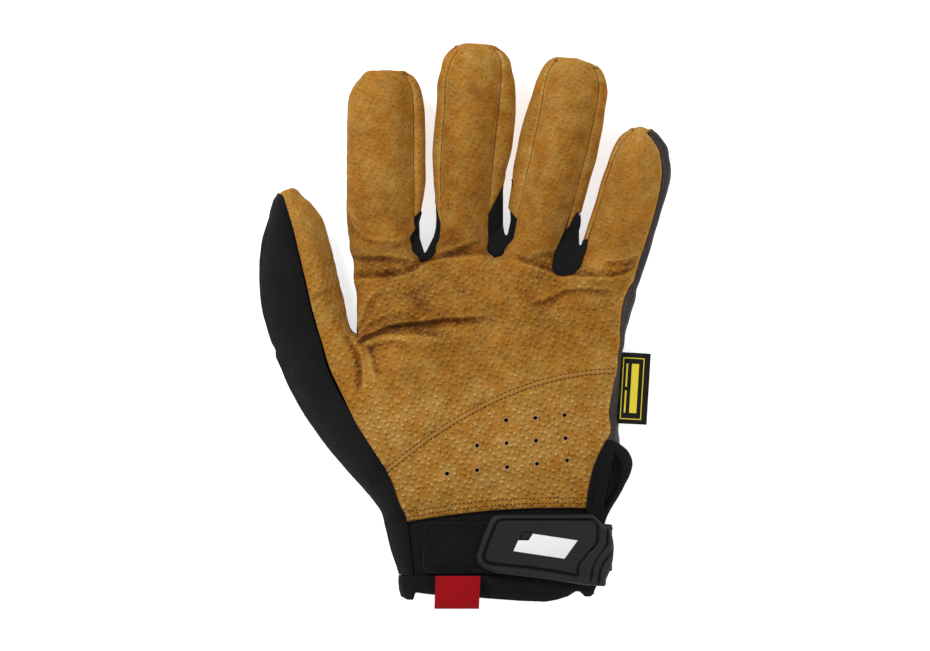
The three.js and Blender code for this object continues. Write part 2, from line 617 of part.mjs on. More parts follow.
// The rounded side wall between the front's edge and the back's, along the outline
function buildBand() {
  const count = outline.length;
  outline.forEach((stop, k) => {
    const last = outline[Math.min(k + 1, count - 1)].place;
    const previous = outline[Math.max(k - 1, 0)].place;
    const direction = points[last.front].clone().sub(points[previous.front]);
    const outwards = new THREE.Vector2(direction.y, -direction.x).normalize();
    const front = points[stop.place.front];
    const back = points[stop.place.back];
    stop.column = [stop.place.front];
    for (let j = 1; j < BAND_STEPS; j++) {
      const angle = (Math.PI * j) / BAND_STEPS;
      const t = (1 - Math.cos(angle)) / 2;
      const swell = stop.reach * Math.sin(angle);
      stop.column.push(addPoint(
        THREE.MathUtils.lerp(front.x, back.x, t) + outwards.x * swell,
        THREE.MathUtils.lerp(front.y, back.y, t) + outwards.y * swell,
        THREE.MathUtils.lerp(front.z, back.z, t),
      ));
    }
    stop.column.push(stop.place.back);
  });
  for (let k = 0; k < count - 1; k++) {
    const here = outline[k].column;
    const next = outline[k + 1].column;
    outline[k].panels.forEach((panel, j) => {
      if (panel) faces.push({ panel, corners: [here[j + 1], next[j + 1], next[j], here[j]] });
    });
  }
}

// Panels cut from the outside: each face becomes a wall of its own thickness

function surfaceNormals() {
  const normals = points.map(() => new THREE.Vector3());
  for (const face of faces) {
    const [a, b, c, d] = face.corners.map((id) => points[id]);
    const normal = c.clone().sub(a).cross(d.clone().sub(b));
    face.normal = normal.clone().normalize();
    for (const id of face.corners) normals[id].add(normal);
  }
  return normals.map((normal) => normal.normalize());
}

function panelGeometry(name, normals, wall, sunk) {
  const own = faces.filter((face) => face.panel === name);
  const edges = new Map();
  for (const face of own) {
    face.corners.forEach((from, i) => {
      const to = face.corners[(i + 1) % face.corners.length];
      edges.set(`${from}_${to}`, { from, to, normal: face.normal });
    });
  }
  const rim = [...edges.values()].filter(({ from, to }) => !edges.has(`${to}_${from}`));
  const pull = new Map();
  for (const { from, to, normal } of rim) {
    const inwards = normal.clone().cross(points[to].clone().sub(points[from])).normalize();
    for (const id of [from, to]) {
      if (!pull.has(id)) pull.set(id, new THREE.Vector3());
      pull.get(id).add(inwards);
    }
  }
  const ids = [...new Set(own.flatMap((face) => face.corners))];
  const place = new Map(ids.map((id, i) => [id, i]));
  const position = [];
  for (const depth of [sunk, sunk + wall]) {
    for (const id of ids) {
      const at = points[id].clone().addScaledVector(normals[id], -depth);
      if (pull.has(id)) at.addScaledVector(pull.get(id).clone().normalize(), SEAM_GAP / 2);
      position.push(at.x, at.y, at.z);
    }
  }
  const inner = ids.length;
  const index = [];
  for (const { corners } of own) {
    const [a, b, c, d] = corners.map((id) => place.get(id));
    index.push(a, b, c, a, c, d);
    index.push(inner + a, inner + c, inner + b, inner + a, inner + d, inner + c);
  }
  for (const { from, to } of rim) {
    const a = place.get(from);
    const b = place.get(to);
    index.push(b, a, inner + a, b, inner + a, inner + b);
  }
  const geometry = new THREE.BufferGeometry();
  geometry.setAttribute('position', new THREE.Float32BufferAttribute(position, 3));
  geometry.setIndex(index);
  geometry.computeVertexNormals();
  return geometry;
}

// Name, colour, roughness, wall and depth of each panel
const PANELS = [
  { name: 'palm_panel', color: LEATHER_TAN, roughness: 0.9, wall: LEATHER_WALL, sunk: 0 },
  { name: 'heel_panel', color: LEATHER_TAN, roughness: 0.9, wall: LEATHER_WALL, sunk: 0 },
  { name: 'index_right_strip', color: LEATHER_TAN, roughness: 0.9, wall: LEATHER_WALL, sunk: 0 },
  { name: 'middle_left_strip', color: LEATHER_TAN, roughness: 0.9, wall: LEATHER_WALL, sunk: 0 },
  { name: 'middle_right_strip', color: LEATHER_TAN, roughness: 0.9, wall: LEATHER_WALL, sunk: 0 },
  { name: 'ring_left_strip', color: LEATHER_TAN, roughness: 0.9, wall: LEATHER_WALL, sunk: 0 },
  { name: 'ring_right_strip', color: LEATHER_TAN, roughness: 0.9, wall: LEATHER_WALL, sunk: 0 },
  { name: 'pinky_left_strip', color: LEATHER_TAN, roughness: 0.9, wall: LEATHER_WALL, sunk: 0 },
  { name: 'fourchette_index_middle', color: CLOTH_BLACK, roughness: 0.8, wall: STRETCH_WALL,
    sunk: FOURCHETTE_SUNK },
  { name: 'fourchette_middle_ring', color: CLOTH_BLACK, roughness: 0.8, wall: STRETCH_WALL,
    sunk: FOURCHETTE_SUNK },
  { name: 'fourchette_ring_pinky', color: CLOTH_BLACK, roughness: 0.8, wall: STRETCH_WALL,
    sunk: FOURCHETTE_SUNK },
  { name: 'thumb_side_panel', color: CLOTH_BLACK, roughness: 0.8, wall: STRETCH_WALL, sunk: 0 },
  { name: 'back_panel', color: LEATHER_DARK, roughness: 0.6, wall: LEATHER_WALL, sunk: 0 },
  { name: 'cuff_front', color: CLOTH_BLACK, roughness: 0.85, wall: KNIT_WALL, sunk: CUFF_FRONT_SUNK },
  { name: 'cuff_back', color: CLOTH_BLACK, roughness: 0.85, wall: KNIT_WALL, sunk: CUFF_BACK_SUNK },
  { name: 'hem_binding', color: CLOTH_BLACK, roughness: 0.8, wall: HEM_WALL, sunk: -HEM_PROUD },
  { name: 'slit_binding', color: CLOTH_BLACK, roughness: 0.8, wall: LEATHER_WALL, sunk: 0 },
];

// Rows of round holes in the heel: first hole, pitch and rise as shares of the palm's breadth
const HOLE_ROWS = [
  { count: 3, x: 0.162, y: -0.358, pitch: 0.11, rise: 0.0095 },
  { count: 4, x: 0.053, y: -0.453, pitch: 0.111, rise: 0.009 },
  { count: 5, x: -0.06, y: -0.558, pitch: 0.113, rise: 0.012 },
];
const HOLE_SIDES = 8;

function pierceHeel(geometry) {
  let heel = toSolid(geometry);
  const drill = new THREE.CylinderGeometry(HOLE_DIAMETER / 2, HOLE_DIAMETER / 2, 2 * PALM_THICKNESS, HOLE_SIDES);
  drill.rotateX(Math.PI / 2);
  for (const row of HOLE_ROWS) {
    for (let i = 0; i < row.count; i++) {
      const hole = drill.clone();
      const x = (row.x + i * row.pitch) * PALM_BREADTH;
      const y = (row.y + i * row.rise) * PALM_BREADTH;
      hole.translate(x, y, PALM_THICKNESS);
      heel = heel.subtract(toSolid(hole));
    }
  }
  return toGeometry(heel);
}

buildHand();
buildBand();
const normals = surfaceNormals();
for (const panel of PANELS) {
  const wall = panelGeometry(panel.name, normals, panel.wall, panel.sunk);
  const geometry = panel.name === 'heel_panel' ? pierceHeel(wall) : wall;
  addMesh(glove, panel.name, geometry, panel.color, panel.roughness);
}

// Closure on the wrist, stacked on the cuff's flat front
const CUFF_TOP = (WRIST_EDGE + WRIST_CROWN) * PALM_THICKNESS - CUFF_FRONT_SUNK;
const HEM_TOP = (WRIST_EDGE + WRIST_CROWN) * PALM_THICKNESS + HEM_PROUD;
const LEATHER_EDGE = PALM_ROWS[PALM_ROWS.length - 1];
const CUFF_START = ((LEATHER_EDGE.leftY + LEATHER_EDGE.rightY) / 2) * PALM_LENGTH;
const CUFF_END = CUFF_START - CUFF_LENGTH;
const WRIST_RIGHT = LEATHER_EDGE.rightX * PALM_BREADTH;
const PATCH_BOTTOM = CUFF_TOP + GAP;
const TAB_BOTTOM = Math.max(PATCH_BOTTOM + PATCH_THICKNESS, HEM_TOP) + GAP;
const TAB_X = WRIST_RIGHT - 0.3 * TAB_LENGTH;
const CLOSURE_Y = CUFF_START - 0.54 * CUFF_LENGTH;

const PATCH_OUTLINE = [
  { x: -0.46, y: 0.5 }, { x: 0.5, y: 0.5 }, { x: 0.5, y: -0.5 }, { x: -0.44, y: -0.5 },
  { x: -0.5, y: -0.38 }, { x: -0.5, y: 0.35 },
];
const TAB_OUTLINE = [
  { x: -0.36, y: 0.53 }, { x: 0.36, y: 0.52 }, { x: 0.42, y: 0.4 }, { x: 0.5, y: 0.28 }, { x: 0.5, y: 0 },
  { x: 0.49, y: -0.22 }, { x: 0.44, y: -0.5 }, { x: 0.33, y: -0.52 }, { x: 0.18, y: -0.46 },
  { x: -0.04, y: -0.4 }, { x: -0.34, y: -0.35 }, { x: -0.45, y: -0.31 }, { x: -0.5, y: -0.22 },
  { x: -0.5, y: -0.1 }, { x: -0.41, y: 0.4 },
];
const RIM_GROOVE = [
  { x: 0.22, y: -0.36 }, { x: -0.04, y: -0.31 }, { x: -0.4, y: -0.24 }, { x: -0.45, y: -0.13 },
  { x: -0.33, y: 0.41 }, { x: 0.31, y: 0.42 }, { x: 0.37, y: 0.31 }, { x: 0.37, y: 0.1 },
  { x: 0.25, y: -0.19 },
];
const SIDE_GROOVE = [
  { x: 0.45, y: 0.28 }, { x: 0.45, y: 0.1 }, { x: 0.42, y: -0.02 }, { x: 0.35, y: -0.19 }, { x: 0.33, y: -0.43 },
];
const INLAY_OUTLINE = [
  { x: -0.42, y: 0.21 }, { x: -0.23, y: 0.21 }, { x: -0.15, y: 0.5 }, { x: 0.5, y: 0.21 },
  { x: 0.3, y: -0.5 }, { x: -0.5, y: -0.19 },
];

function scaled(outline, length, height) {
  return outline.map((point) => new THREE.Vector2(point.x * length, point.y * height));
}

function plate(outline, thickness) {
  return new THREE.ExtrudeGeometry(new THREE.Shape(outline), { depth: thickness, bevelEnabled: false });
}

// A groove's plan: the path with half the groove's width on either side
function ribbon(path, width) {
  const sides = [[], []];
  path.forEach((point, i) => {
    const next = path[Math.min(i + 1, path.length - 1)];
    const previous = path[Math.max(i - 1, 0)];
    const along = next.clone().sub(previous).normalize();
    const across = new THREE.Vector2(-along.y, along.x).multiplyScalar(width / 2);
    sides[0].push(point.clone().add(across));
    sides[1].unshift(point.clone().sub(across));
  });
  return [...sides[0], ...sides[1]];
}

function buildTab() {
  let tab = toSolid(plate(scaled(TAB_OUTLINE, TAB_LENGTH, TAB_HEIGHT), TAB_THICKNESS));
  const cutters = [RIM_GROOVE, SIDE_GROOVE].map((path) => {
    const plan = ribbon(scaled(path, TAB_LENGTH, TAB_HEIGHT), TAB_GROOVE_WIDTH);
    return plate(plan, TAB_THICKNESS).translate(0, 0, TAB_THICKNESS - TAB_GROOVE_DEPTH);
  });
  const pocketPlan = scaled(INLAY_OUTLINE, INLAY_LENGTH + 2 * GAP, INLAY_HEIGHT + 2 * GAP);
  const pocketDepth = INLAY_THICKNESS + GAP;
  cutters.push(plate(pocketPlan, TAB_THICKNESS).translate(0, 0, TAB_THICKNESS - pocketDepth));
  for (const cutter of cutters) tab = tab.subtract(toSolid(cutter));
  return toGeometry(tab);
}

function buildStrap() {
  const bottom = BAND_CLEARANCE;
  const top = TAB_BOTTOM - GAP;
  const outer = (top - bottom) / 2;
  const middle = (top + bottom) / 2;
  const end = TAB_X + TAB_LENGTH / 2 - outer;
  const shape = new THREE.Shape();
  shape.moveTo(end - STRAP_LENGTH, bottom);
  shape.lineTo(end, bottom);
  shape.absarc(end, middle, outer, -Math.PI / 2, Math.PI / 2, false);
  shape.lineTo(end, top - STRAP_THICKNESS);
  shape.absarc(end, middle, outer - STRAP_THICKNESS, Math.PI / 2, -Math.PI / 2, true);
  shape.lineTo(end - STRAP_LENGTH, bottom + STRAP_THICKNESS);
  const geometry = new THREE.ExtrudeGeometry(shape, {
    depth: STRAP_WIDTH, bevelEnabled: false, curveSegments: 10,
  });
  return geometry.rotateX(Math.PI / 2);
}

function buildLoop() {
  const half = LOOP_OPENING / 2 + WEBBING_THICKNESS;
  const length = LOOP_LENGTH - half;
  const shape = new THREE.Shape();
  shape.moveTo(0, -half);
  shape.lineTo(length, -half);
  shape.absarc(length, 0, half, -Math.PI / 2, Math.PI / 2, false);
  shape.lineTo(0, half);
  const hollow = new THREE.Path();
  hollow.moveTo(WEBBING_THICKNESS, -LOOP_OPENING / 2);
  hollow.lineTo(WEBBING_THICKNESS, LOOP_OPENING / 2);
  hollow.lineTo(length, LOOP_OPENING / 2);
  hollow.absarc(length, 0, LOOP_OPENING / 2, Math.PI / 2, -Math.PI / 2, true);
  shape.holes.push(hollow);
  const geometry = new THREE.ExtrudeGeometry(shape, { depth: LOOP_WIDTH, bevelEnabled: false, curveSegments: 6 });
  return geometry.translate(0, 0, -LOOP_WIDTH / 2).rotateX(Math.PI / 2).rotateZ(-Math.PI / 2);
}

const patch = plate(scaled(PATCH_OUTLINE, PATCH_LENGTH, PATCH_HEIGHT), PATCH_THICKNESS);
addMesh(glove, 'loop_patch', patch, CLOTH_BLACK, 0.95)
  .position.set(PATCH_X * PALM_BREADTH, CLOSURE_Y, PATCH_BOTTOM);
const tab = addMesh(glove, 'strap_tab', buildTab(), RUBBER_BLACK, 0.55);
tab.position.set(TAB_X, CLOSURE_Y, TAB_BOTTOM);
const inlayZ = TAB_BOTTOM + TAB_THICKNESS - INLAY_THICKNESS;
const inlay = plate(scaled(INLAY_OUTLINE, INLAY_LENGTH, INLAY_HEIGHT), INLAY_THICKNESS);
addMesh(glove, 'tab_inlay', inlay, INLAY_GREY, 0.5).position.set(TAB_X, CLOSURE_Y, inlayZ);
const strapY = CLOSURE_Y + STRAP_WIDTH / 2 - GAP;
addMesh(glove, 'closure_strap', buildStrap(), CLOTH_BLACK, 0.85).position.set(0, strapY, 0);
const loop = addMesh(glove, 'pull_loop', buildLoop(), WEBBING_RED, 0.8);
const loopZ = HEM_TOP + GAP + LOOP_OPENING / 2 + WEBBING_THICKNESS;
loop.position.set(LOOP_X * PALM_BREADTH, CUFF_END, loopZ);

// Tag that stands out of the seam beside the little finger's side of the palm
const LABEL_PLACE = { x: 0.594, y: -0.232, z: 0.33, turn: -3.3, droop: 14 };
const labelPlan = [
  new THREE.Vector2(0, -LABEL_LENGTH / 2), new THREE.Vector2(LABEL_WIDTH, -LABEL_LENGTH / 2),
  new THREE.Vector2(LABEL_WIDTH, LABEL_LENGTH / 2), new THREE.Vector2(0, LABEL_LENGTH / 2),
];
const label = addMesh(glove, 'side_label', plate(labelPlan, LABEL_THICKNESS), CLOTH_BLACK, 0.8);
label.rotation.set(0, THREE.MathUtils.degToRad(LABEL_PLACE.droop), 0);
label.rotation.z = THREE.MathUtils.degToRad(LABEL_PLACE.turn);
label.rotation.order = 'ZYX';
label.position.set(
  LABEL_PLACE.x * PALM_BREADTH, LABEL_PLACE.y * PALM_BREADTH, LABEL_PLACE.z * PALM_THICKNESS,
);

glove.updateMatrixWorld(true);
const box = new THREE.Box3().setFromObject(glove);
const centre = box.getCenter(new THREE.Vector3());
glove.position.set(-centre.x, -centre.y, -box.min.z);

export default glove;
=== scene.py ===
"""A mechanic's work glove for the left hand, lying on its back with the palm up."""

import math
import random

import bpy
import numpy as np
from mathutils import Matrix, Vector, noise
from mathutils.bvhtree import BVHTree
from mathutils.kdtree import KDTree


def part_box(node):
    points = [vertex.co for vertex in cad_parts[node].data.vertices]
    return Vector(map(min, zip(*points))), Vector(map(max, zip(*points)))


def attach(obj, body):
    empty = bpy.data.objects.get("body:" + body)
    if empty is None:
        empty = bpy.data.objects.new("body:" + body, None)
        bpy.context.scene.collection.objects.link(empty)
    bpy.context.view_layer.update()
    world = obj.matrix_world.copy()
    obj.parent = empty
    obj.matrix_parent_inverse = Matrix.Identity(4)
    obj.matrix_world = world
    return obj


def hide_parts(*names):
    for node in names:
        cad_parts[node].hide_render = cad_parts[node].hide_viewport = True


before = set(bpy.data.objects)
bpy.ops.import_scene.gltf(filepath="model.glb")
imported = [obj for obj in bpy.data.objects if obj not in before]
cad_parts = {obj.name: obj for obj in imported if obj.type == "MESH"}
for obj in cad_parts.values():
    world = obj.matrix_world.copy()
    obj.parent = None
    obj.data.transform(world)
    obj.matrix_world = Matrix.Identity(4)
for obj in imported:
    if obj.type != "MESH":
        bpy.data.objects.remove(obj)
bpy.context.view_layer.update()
bpy.ops.object.select_all(action="DESELECT")
random.seed(11)

MM = 0.001

# Seams, folds and outlines are drawn on a plan of the palm: steps of 0.43 mm, across and down.
PLAN_STEP = 0.43 * MM
PLAN_CENTRE = (465.54, 325.69)

# A height above the whole glove, and the least height over the floor
ABOVE = 60 * MM
LOWEST = 0.03 * MM

# A wall's rim meets its sheets at a sharper angle than this
RIM_ANGLE = math.radians(55)

# Folds of the palm leather: rise, reach and dip in mm, the shares of its start and end that fade,
# and its path. The raised side is on the path's left.
FOLDS = [
    (0.9, 4.5, 0.7, (0.0, 0.25),  # index roll
     [(350, 253), (357, 255.6), (370, 256.2), (384.6, 256.5), (402, 258.5), (417, 261.4)]),
    (0.9, 6.0, 0.8, (0.15, 0.0),  # palm edge index
     [(502, 254.8), (480, 256), (452, 258), (426, 262), (417, 270), (397, 276.6), (375, 278.5), (352, 279)]),
    (0.8, 4.5, 0.8, (0.0, 0.15),  # palm edge ring
     [(637, 266.5), (621, 275.5), (599, 277.6), (577.6, 276.5), (560, 276), (550.5, 272), (523.4, 263.5),
      (500, 254.5)]),
    (0.5, 6.0, 0.5, (0.25, 0.1),  # middle base
     [(436, 253), (446, 250.5), (462, 246), (472, 242), (482, 238)]),
    (0.35, 3.5, 0.3, (0.35, 0.1),  # index inner
     [(380, 249), (392, 246), (404, 242), (414, 235)]),
    (0.4, 4.0, 0.4, (0.3, 0.3),  # ring base
     [(528, 257), (538.6, 253), (553.8, 250.5), (562, 247)]),
    (0.75, 5.0, 0.7, (0.3, 0.2),  # knuckle roll
     [(520, 306), (532, 302.6), (550.5, 297), (562.4, 290.6), (577.6, 288.5), (604.7, 289.5), (617, 292)]),
    (0.45, 4.0, 0.4, (0.3, 0.0),  # pinky base
     [(600, 262), (610, 261), (624, 260), (638, 255)]),
    (0.3, 3.0, 0.35, (0.3, 0.0),  # pinky base low
     [(598, 275), (607, 274), (621, 271), (636, 265)]),
    (0.45, 1.3, 0.1, (0.0, 0.3),  # index wrinkle
     [(346, 208), (352, 216), (360, 226)]),
    (0.4, 3.0, 0.35, (0.05, 0.2),  # index knuckle
     [(348, 214), (354, 227), (366, 237), (382, 241.5), (400, 240.5), (411, 233)]),
    (1.0, 5.0, 1.1, (0.0, 0.45),  # palm crease
     [(357, 341), (366, 335), (375, 331.5), (385, 326.5), (403, 323), (420.5, 321.5), (448, 318), (480, 317),
      (520, 312)]),
    (0.75, 3.5, 0.5, (0.25, 0.0),  # lower crease
     [(452, 340), (445, 339), (433, 337), (416, 335.6), (400, 335), (385, 335), (375, 337), (363, 343)]),
    (0.45, 2.5, 0.6, (0.1, 0.3),  # small crease
     [(362, 346), (366.6, 344.7), (383, 341.4), (396, 339.8), (408, 343), (418, 349)]),
    (0.6, 3.0, 0.75, (0.0, 0.3),  # thumb crease
     [(349, 334), (351.7, 339.7), (357, 348), (360.8, 356), (363, 373), (362.4, 389.5), (360, 400)]),
    (0.5, 3.0, 0.6, (0.4, 0.1),  # thumb crease inner
     [(379, 388), (377.4, 379.5), (373, 368.8), (370, 354.7), (366, 346)]),
    (0.5, 4.0, 0.5, (0.1, 0.4),  # side fold
     [(357, 328), (364, 313), (370, 300), (385, 285)]),
    (0.45, 3.0, 0.4, (0.0, 0.4),  # side fold low
     [(358, 334), (370, 322), (384, 316), (402, 311)]),
    (0.35, 4.0, 0.35, (0.2, 0.2),  # thumb bend
     [(308, 296), (320, 292), (334, 285)]),
]

# How far a fold's ridge, painted pale as highlight, and its crease, painted dark as shade, lie to the left of its
# path, in mm
RIDGE, CREASE = 0.5, -1.3

# Broad painted light and shade over the nap: darker in the palm's hollows and creases and along the fingers, paler
# on the fingertips and heel. Place on the plan, reach in steps, lighter above zero.
BROAD_SHADING = [
    (385, 268, 22, -0.55), (440, 247, 20, -0.35), (470, 190, 26, -0.35), (375, 208, 26, -0.25),
    (405, 300, 30, -0.5), (470, 290, 40, -0.35), (540, 300, 40, -0.3), (600, 302, 24, -0.35),
    (430, 324, 26, -0.5), (366, 344, 16, -0.6), (330, 300, 22, -0.15), (350, 372, 22, -0.25),
    (480, 506, 34, -0.15), (560, 262, 20, -0.3), (520, 250, 20, -0.3), (560, 200, 26, -0.15),
    (520, 440, 48, 0.45), (430, 478, 36, 0.45), (585, 425, 28, 0.35), (440, 412, 24, 0.45), (478, 60, 18, 0.15),
    (568, 78, 20, 0.3), (640, 152, 26, 0.4), (302, 210, 22, 0.5), (385, 430, 34, 0.35),
    (320, 250, 18, 0.25), (605, 360, 22, 0.3), (460, 240, 17, -1.0), (340, 395, 20, -0.25),
    (590, 320, 34, -0.15), (540, 338, 26, -0.1), (500, 247, 10, -0.25), (630, 200, 24, 0.25),
    (600, 272, 12, 0.35), (400, 266, 10, 0.2), (500, 300, 16, 0.2),
]

# The heel panel's upper seam and the stitched edge above the wrist
HEEL_SEAM = [
    (386, 471), (397, 462), (407, 454.2), (426.5, 439.4), (446, 426.2), (465.5, 414.6), (485, 404.1),
    (505, 394.9), (525, 387.1), (545.5, 380.8), (565, 376.1), (585, 373), (605, 371.4), (615, 371),
]
WRIST_SEAM = [
    (405, 522), (415.6, 520), (430, 517.6), (445, 515.3), (468, 512.3), (491, 510), (514.7, 508.4),
    (530, 507.7), (554, 507.2), (587, 507.9),
]

# Where the finger strips end on the gussets: gusset, strip, the joint's middle, the finger's direction
# away from the tip, half the joint's breadth, and how far its inner and outer ends lie below the middle.
SLANTS = [
    ("index_middle", "index_right", (419, 212), 0, 4.5, 4, -6),
    ("middle_ring", "middle_right", (496, 204), 4, 7, 9, -23),
    ("middle_ring", "ring_left", (513, 207), -170, 5, 12, 3),
    ("index_middle", "middle_left", (438, 201), 178, 2.2, 24, 5),
    ("ring_pinky", "pinky_left", (588, 231), -158, 3, 12, 11),
    ("ring_pinky", "ring_right", (572, 220), 12, 8, 20, -10),
]

# Small corrections of the outline on the plan: place, reach, and shift to the right and down.
NUDGES = [
    (361, 76, 5, 0.8, 0.8), (408, 72, 5, -0.8, 1.0), (385, 71, 9, 0, -0.8), (348, 97, 12, -1.2, 0),
    (420, 90, 9, 0.8, 0), (351, 250, 7, -1.6, 0), (355, 279, 12, -2.6, 0), (357, 305, 12, -1.6, 0),
    (457, 44, 5, 1.0, 2.0), (444, 57, 9, -1.8, -0.5), (438, 82, 9, -1.0, 0), (436, 107, 14, 0.8, 0),
    (433, 157, 14, -0.6, 0), (435, 196, 8, 0.9, 0), (499, 46, 5, -1.2, 2.0), (509, 60, 8, 1.6, 0),
    (515, 100, 14, -0.7, 0), (503, 226, 10, 4.0, 0), (530, 97, 14, 1.0, 0), (527, 112, 14, 0.8, 0),
    (515, 150, 14, 1.0, 0), (555, 57, 4, 0.6, 1.2), (577, 60, 8, 0, -1.6), (598, 65, 5, -1.3, 1.2),
    (606, 93, 12, 1.0, 0), (603, 125, 12, 0.6, 0), (595, 158, 20, 0.9, 0), (627, 129, 6, 1.2, 1.2),
    (643, 127, 6, 0, -1.0), (652, 129, 4, -0.8, 1.2), (666, 147, 8, 2.2, 0), (603, 165, 14, 0.9, 0),
    (597, 195, 14, 0.9, 0), (669, 175, 12, 0.5, 0), (632, 300, 12, 2.2, 0), (627, 320, 8, 1.0, 0),
    (623, 345, 10, 1.5, 0), (277, 193, 5, 2.0, 1.5), (270, 212, 9, -1.6, 0), (303, 194, 7, -1.2, 1.6),
    (322, 218, 12, 2.0, 0), (351, 327, 7, 0.5, 5.0), (345, 308, 10, 1.6, 0), (287, 378, 24, 1.3, -0.8),
    (346, 467, 12, 0.5, -0.3), (362, 486, 9, 0.7, -0.6), (381, 510, 9, 1.2, -0.5), (392, 553, 14, -1.0, 0),
    (597, 587, 6, 4.0, 0), (631, 466, 8, -4.0, 0), (413.4, 228, 4, 2.0, 0), (413.5, 239, 6, -3.2, 0),
    (415.5, 250, 6, -4.0, 1.0), (425, 257, 6, -3.5, 4.0), (432.5, 252, 5, 2.0, 2.5), (438, 242, 6, 1.5, 0),
    (491, 249, 6, -3.0, 1.5), (498, 251, 5, 4.0, 3.0), (507, 239, 7, 3.5, 0), (559, 256, 7, -3.5, 0),
    (562, 266, 7, -6.0, 5.5), (575, 262, 6, 0.5, 6.0), (605, 432, 13, 6.5, 0), (622, 432, 8, -2.5, 0),
    (279, 357, 7, -1.6, 0), (293, 384, 10, -0.8, 0), (363, 73, 4, -1.2, 0), (278, 355, 5, -1.5, 0),
    (633, 126, 4, 0.8, 1.6), (650, 129, 4, -0.8, 0.6), (408, 71, 3, -0.4, 0.8),
]

# Black cloth at the foot of each gap between the fingers: the leather beside it, and its outline.
WEBS = [
    ("index_middle", (422, 264), [
        (409, 236), (410.5, 253), (419.5, 262), (431, 260), (436, 253.5), (441.5, 243.5), (440, 236),
        (433.2, 237), (424.8, 254), (419.8, 238), (419.2, 222), (422, 212), (420, 208.5), (413.8, 215.5),
        (414, 219), (415.5, 230),
    ]),
    ("middle_ring", (496, 260), [
        (487, 222), (486.8, 250), (488.5, 256.5), (501.5, 256.5), (507.5, 248), (515, 235), (517.4, 225),
        (517.2, 218), (512.5, 211.5), (510.8, 212), (510.4, 222), (507, 237), (504.6, 233), (503.3, 225),
        (503.3, 190), (500, 196),
    ]),
    ("ring_pinky", (563, 280), [
        (577, 212), (579.2, 212), (579.3, 244), (580.8, 247), (582.8, 240), (588.5, 238), (586.5, 247),
        (583.5, 255), (578.5, 268), (573, 275), (562, 277), (552.8, 273.5), (553, 266), (558.2, 245),
        (561.4, 237), (563.6, 229),
    ]),
]

# The hem's lower edge, from left to right
HEM_EDGE = [
    (396, 590), (399, 594), (402, 598), (407, 600.5), (413.2, 600.5), (415.5, 593), (434, 595), (480, 598),
    (520, 601), (545, 602), (557, 600), (568, 596.5), (576, 591.5), (580, 592), (585, 597), (591, 597),
    (597, 591), (602, 586),
]


def plan(across, down):
    """A place on the plan, in metres."""
    return ((across - PLAN_CENTRE[0]) * PLAN_STEP, (PLAN_CENTRE[1] - down) * PLAN_STEP)


def smooth_path(points, spacing):
    """Places at an even spacing along the smooth curve through plan points."""
    knots = np.array([plan(*point) for point in points])
    padded = np.vstack([2 * knots[0] - knots[1], knots, 2 * knots[-1] - knots[-2]])
    curve = []
    for i in range(len(knots) - 1):
        a, b, c, d = padded[i:i + 4]
        for t in np.linspace(0, 1, 10, endpoint=False):
            curve.append(b + 0.5 * t * (c - a + t * (2 * a - 5 * b + 4 * c - d + t * (3 * b - 3 * c + d - a))))
    curve.append(knots[-1])
    return even_path(np.array(curve), spacing)


def even_path(curve, spacing):
    """The same curve with its places at an even spacing."""
    steps = np.linalg.norm(np.diff(curve, axis=0), axis=1)
    reached = np.concatenate([[0], np.cumsum(steps)])
    even = np.linspace(0, reached[-1], max(2, round(reached[-1] / spacing) + 1))
    return np.column_stack([np.interp(even, reached, curve[:, k]) for k in range(curve.shape[1])])


def straight_path(points, spacing):
    return even_path(np.array([plan(*point) for point in points]), spacing)


def measure_from(path, places):
    """Each place's distance from a path, above zero on its left, and its share of the way along."""
    best = np.full(len(places), 1.0)
    side = np.zeros(len(places))
    along = np.zeros(len(places))
    for i in range(len(path) - 1):
        start, step = path[i], path[i + 1] - path[i]
        offset = places - start
        share = np.clip(offset @ step / (step @ step), 0, 1)
        away = offset - share[:, None] * step
        distance = np.hypot(away[:, 0], away[:, 1])
        nearer = distance < best
        best[nearer] = distance[nearer]
        side[nearer] = np.sign(step[0] * offset[nearer, 1] - step[1] * offset[nearer, 0])
        along[nearer] = ((i + share) / (len(path) - 1))[nearer]
    return best * side, along


def smooth_step(low, high, values):
    share = np.clip((values - low) / (high - low), 0, 1)
    return share * share * (3 - 2 * share)


def bell(values, width, centre=0.0):
    """1 at the centre, fading away within about two widths."""
    return np.exp(-((values - centre) / width) ** 2)


def round_spot(co, across, down, reach):
    """1 at a place on the plan, fading away beyond a reach in metres."""
    return np.exp(-((co[:, :2] - plan(across, down)) ** 2).sum(axis=1) / reach ** 2)


def beside(path, offset):
    """The path moved to its left, in mm."""
    step = np.gradient(path, axis=0)
    step /= np.linalg.norm(step, axis=1)[:, None]
    return path + np.column_stack([-step[:, 1], step[:, 0]]) * offset * MM


# Tools for the pieces

def select_only(piece):
    bpy.ops.object.select_all(action="DESELECT")
    piece.select_set(True)
    bpy.context.view_layer.objects.active = piece


def in_edit_mode(piece, *steps):
    """Runs mesh operators on the whole of a piece."""
    select_only(piece)
    bpy.ops.object.mode_set(mode="EDIT")
    bpy.ops.mesh.select_all(action="SELECT")
    for step, settings in steps:
        step(**settings)
    bpy.ops.object.mode_set(mode="OBJECT")


def added(operator, name, **settings):
    """The piece that a primitive's operator adds."""
    bpy.ops.object.select_all(action="DESELECT")
    operator(**settings)
    piece = bpy.context.active_object
    piece.name = piece.data.name = name
    return piece


def placed(name, data):
    made = bpy.data.objects.new(name, data)
    bpy.context.scene.collection.objects.link(made)
    return made


def piece_from(name, corners, faces, edges=()):
    mesh = bpy.data.meshes.new(name)
    mesh.from_pydata([tuple(corner) for corner in corners], edges, faces)
    return placed(name, mesh)


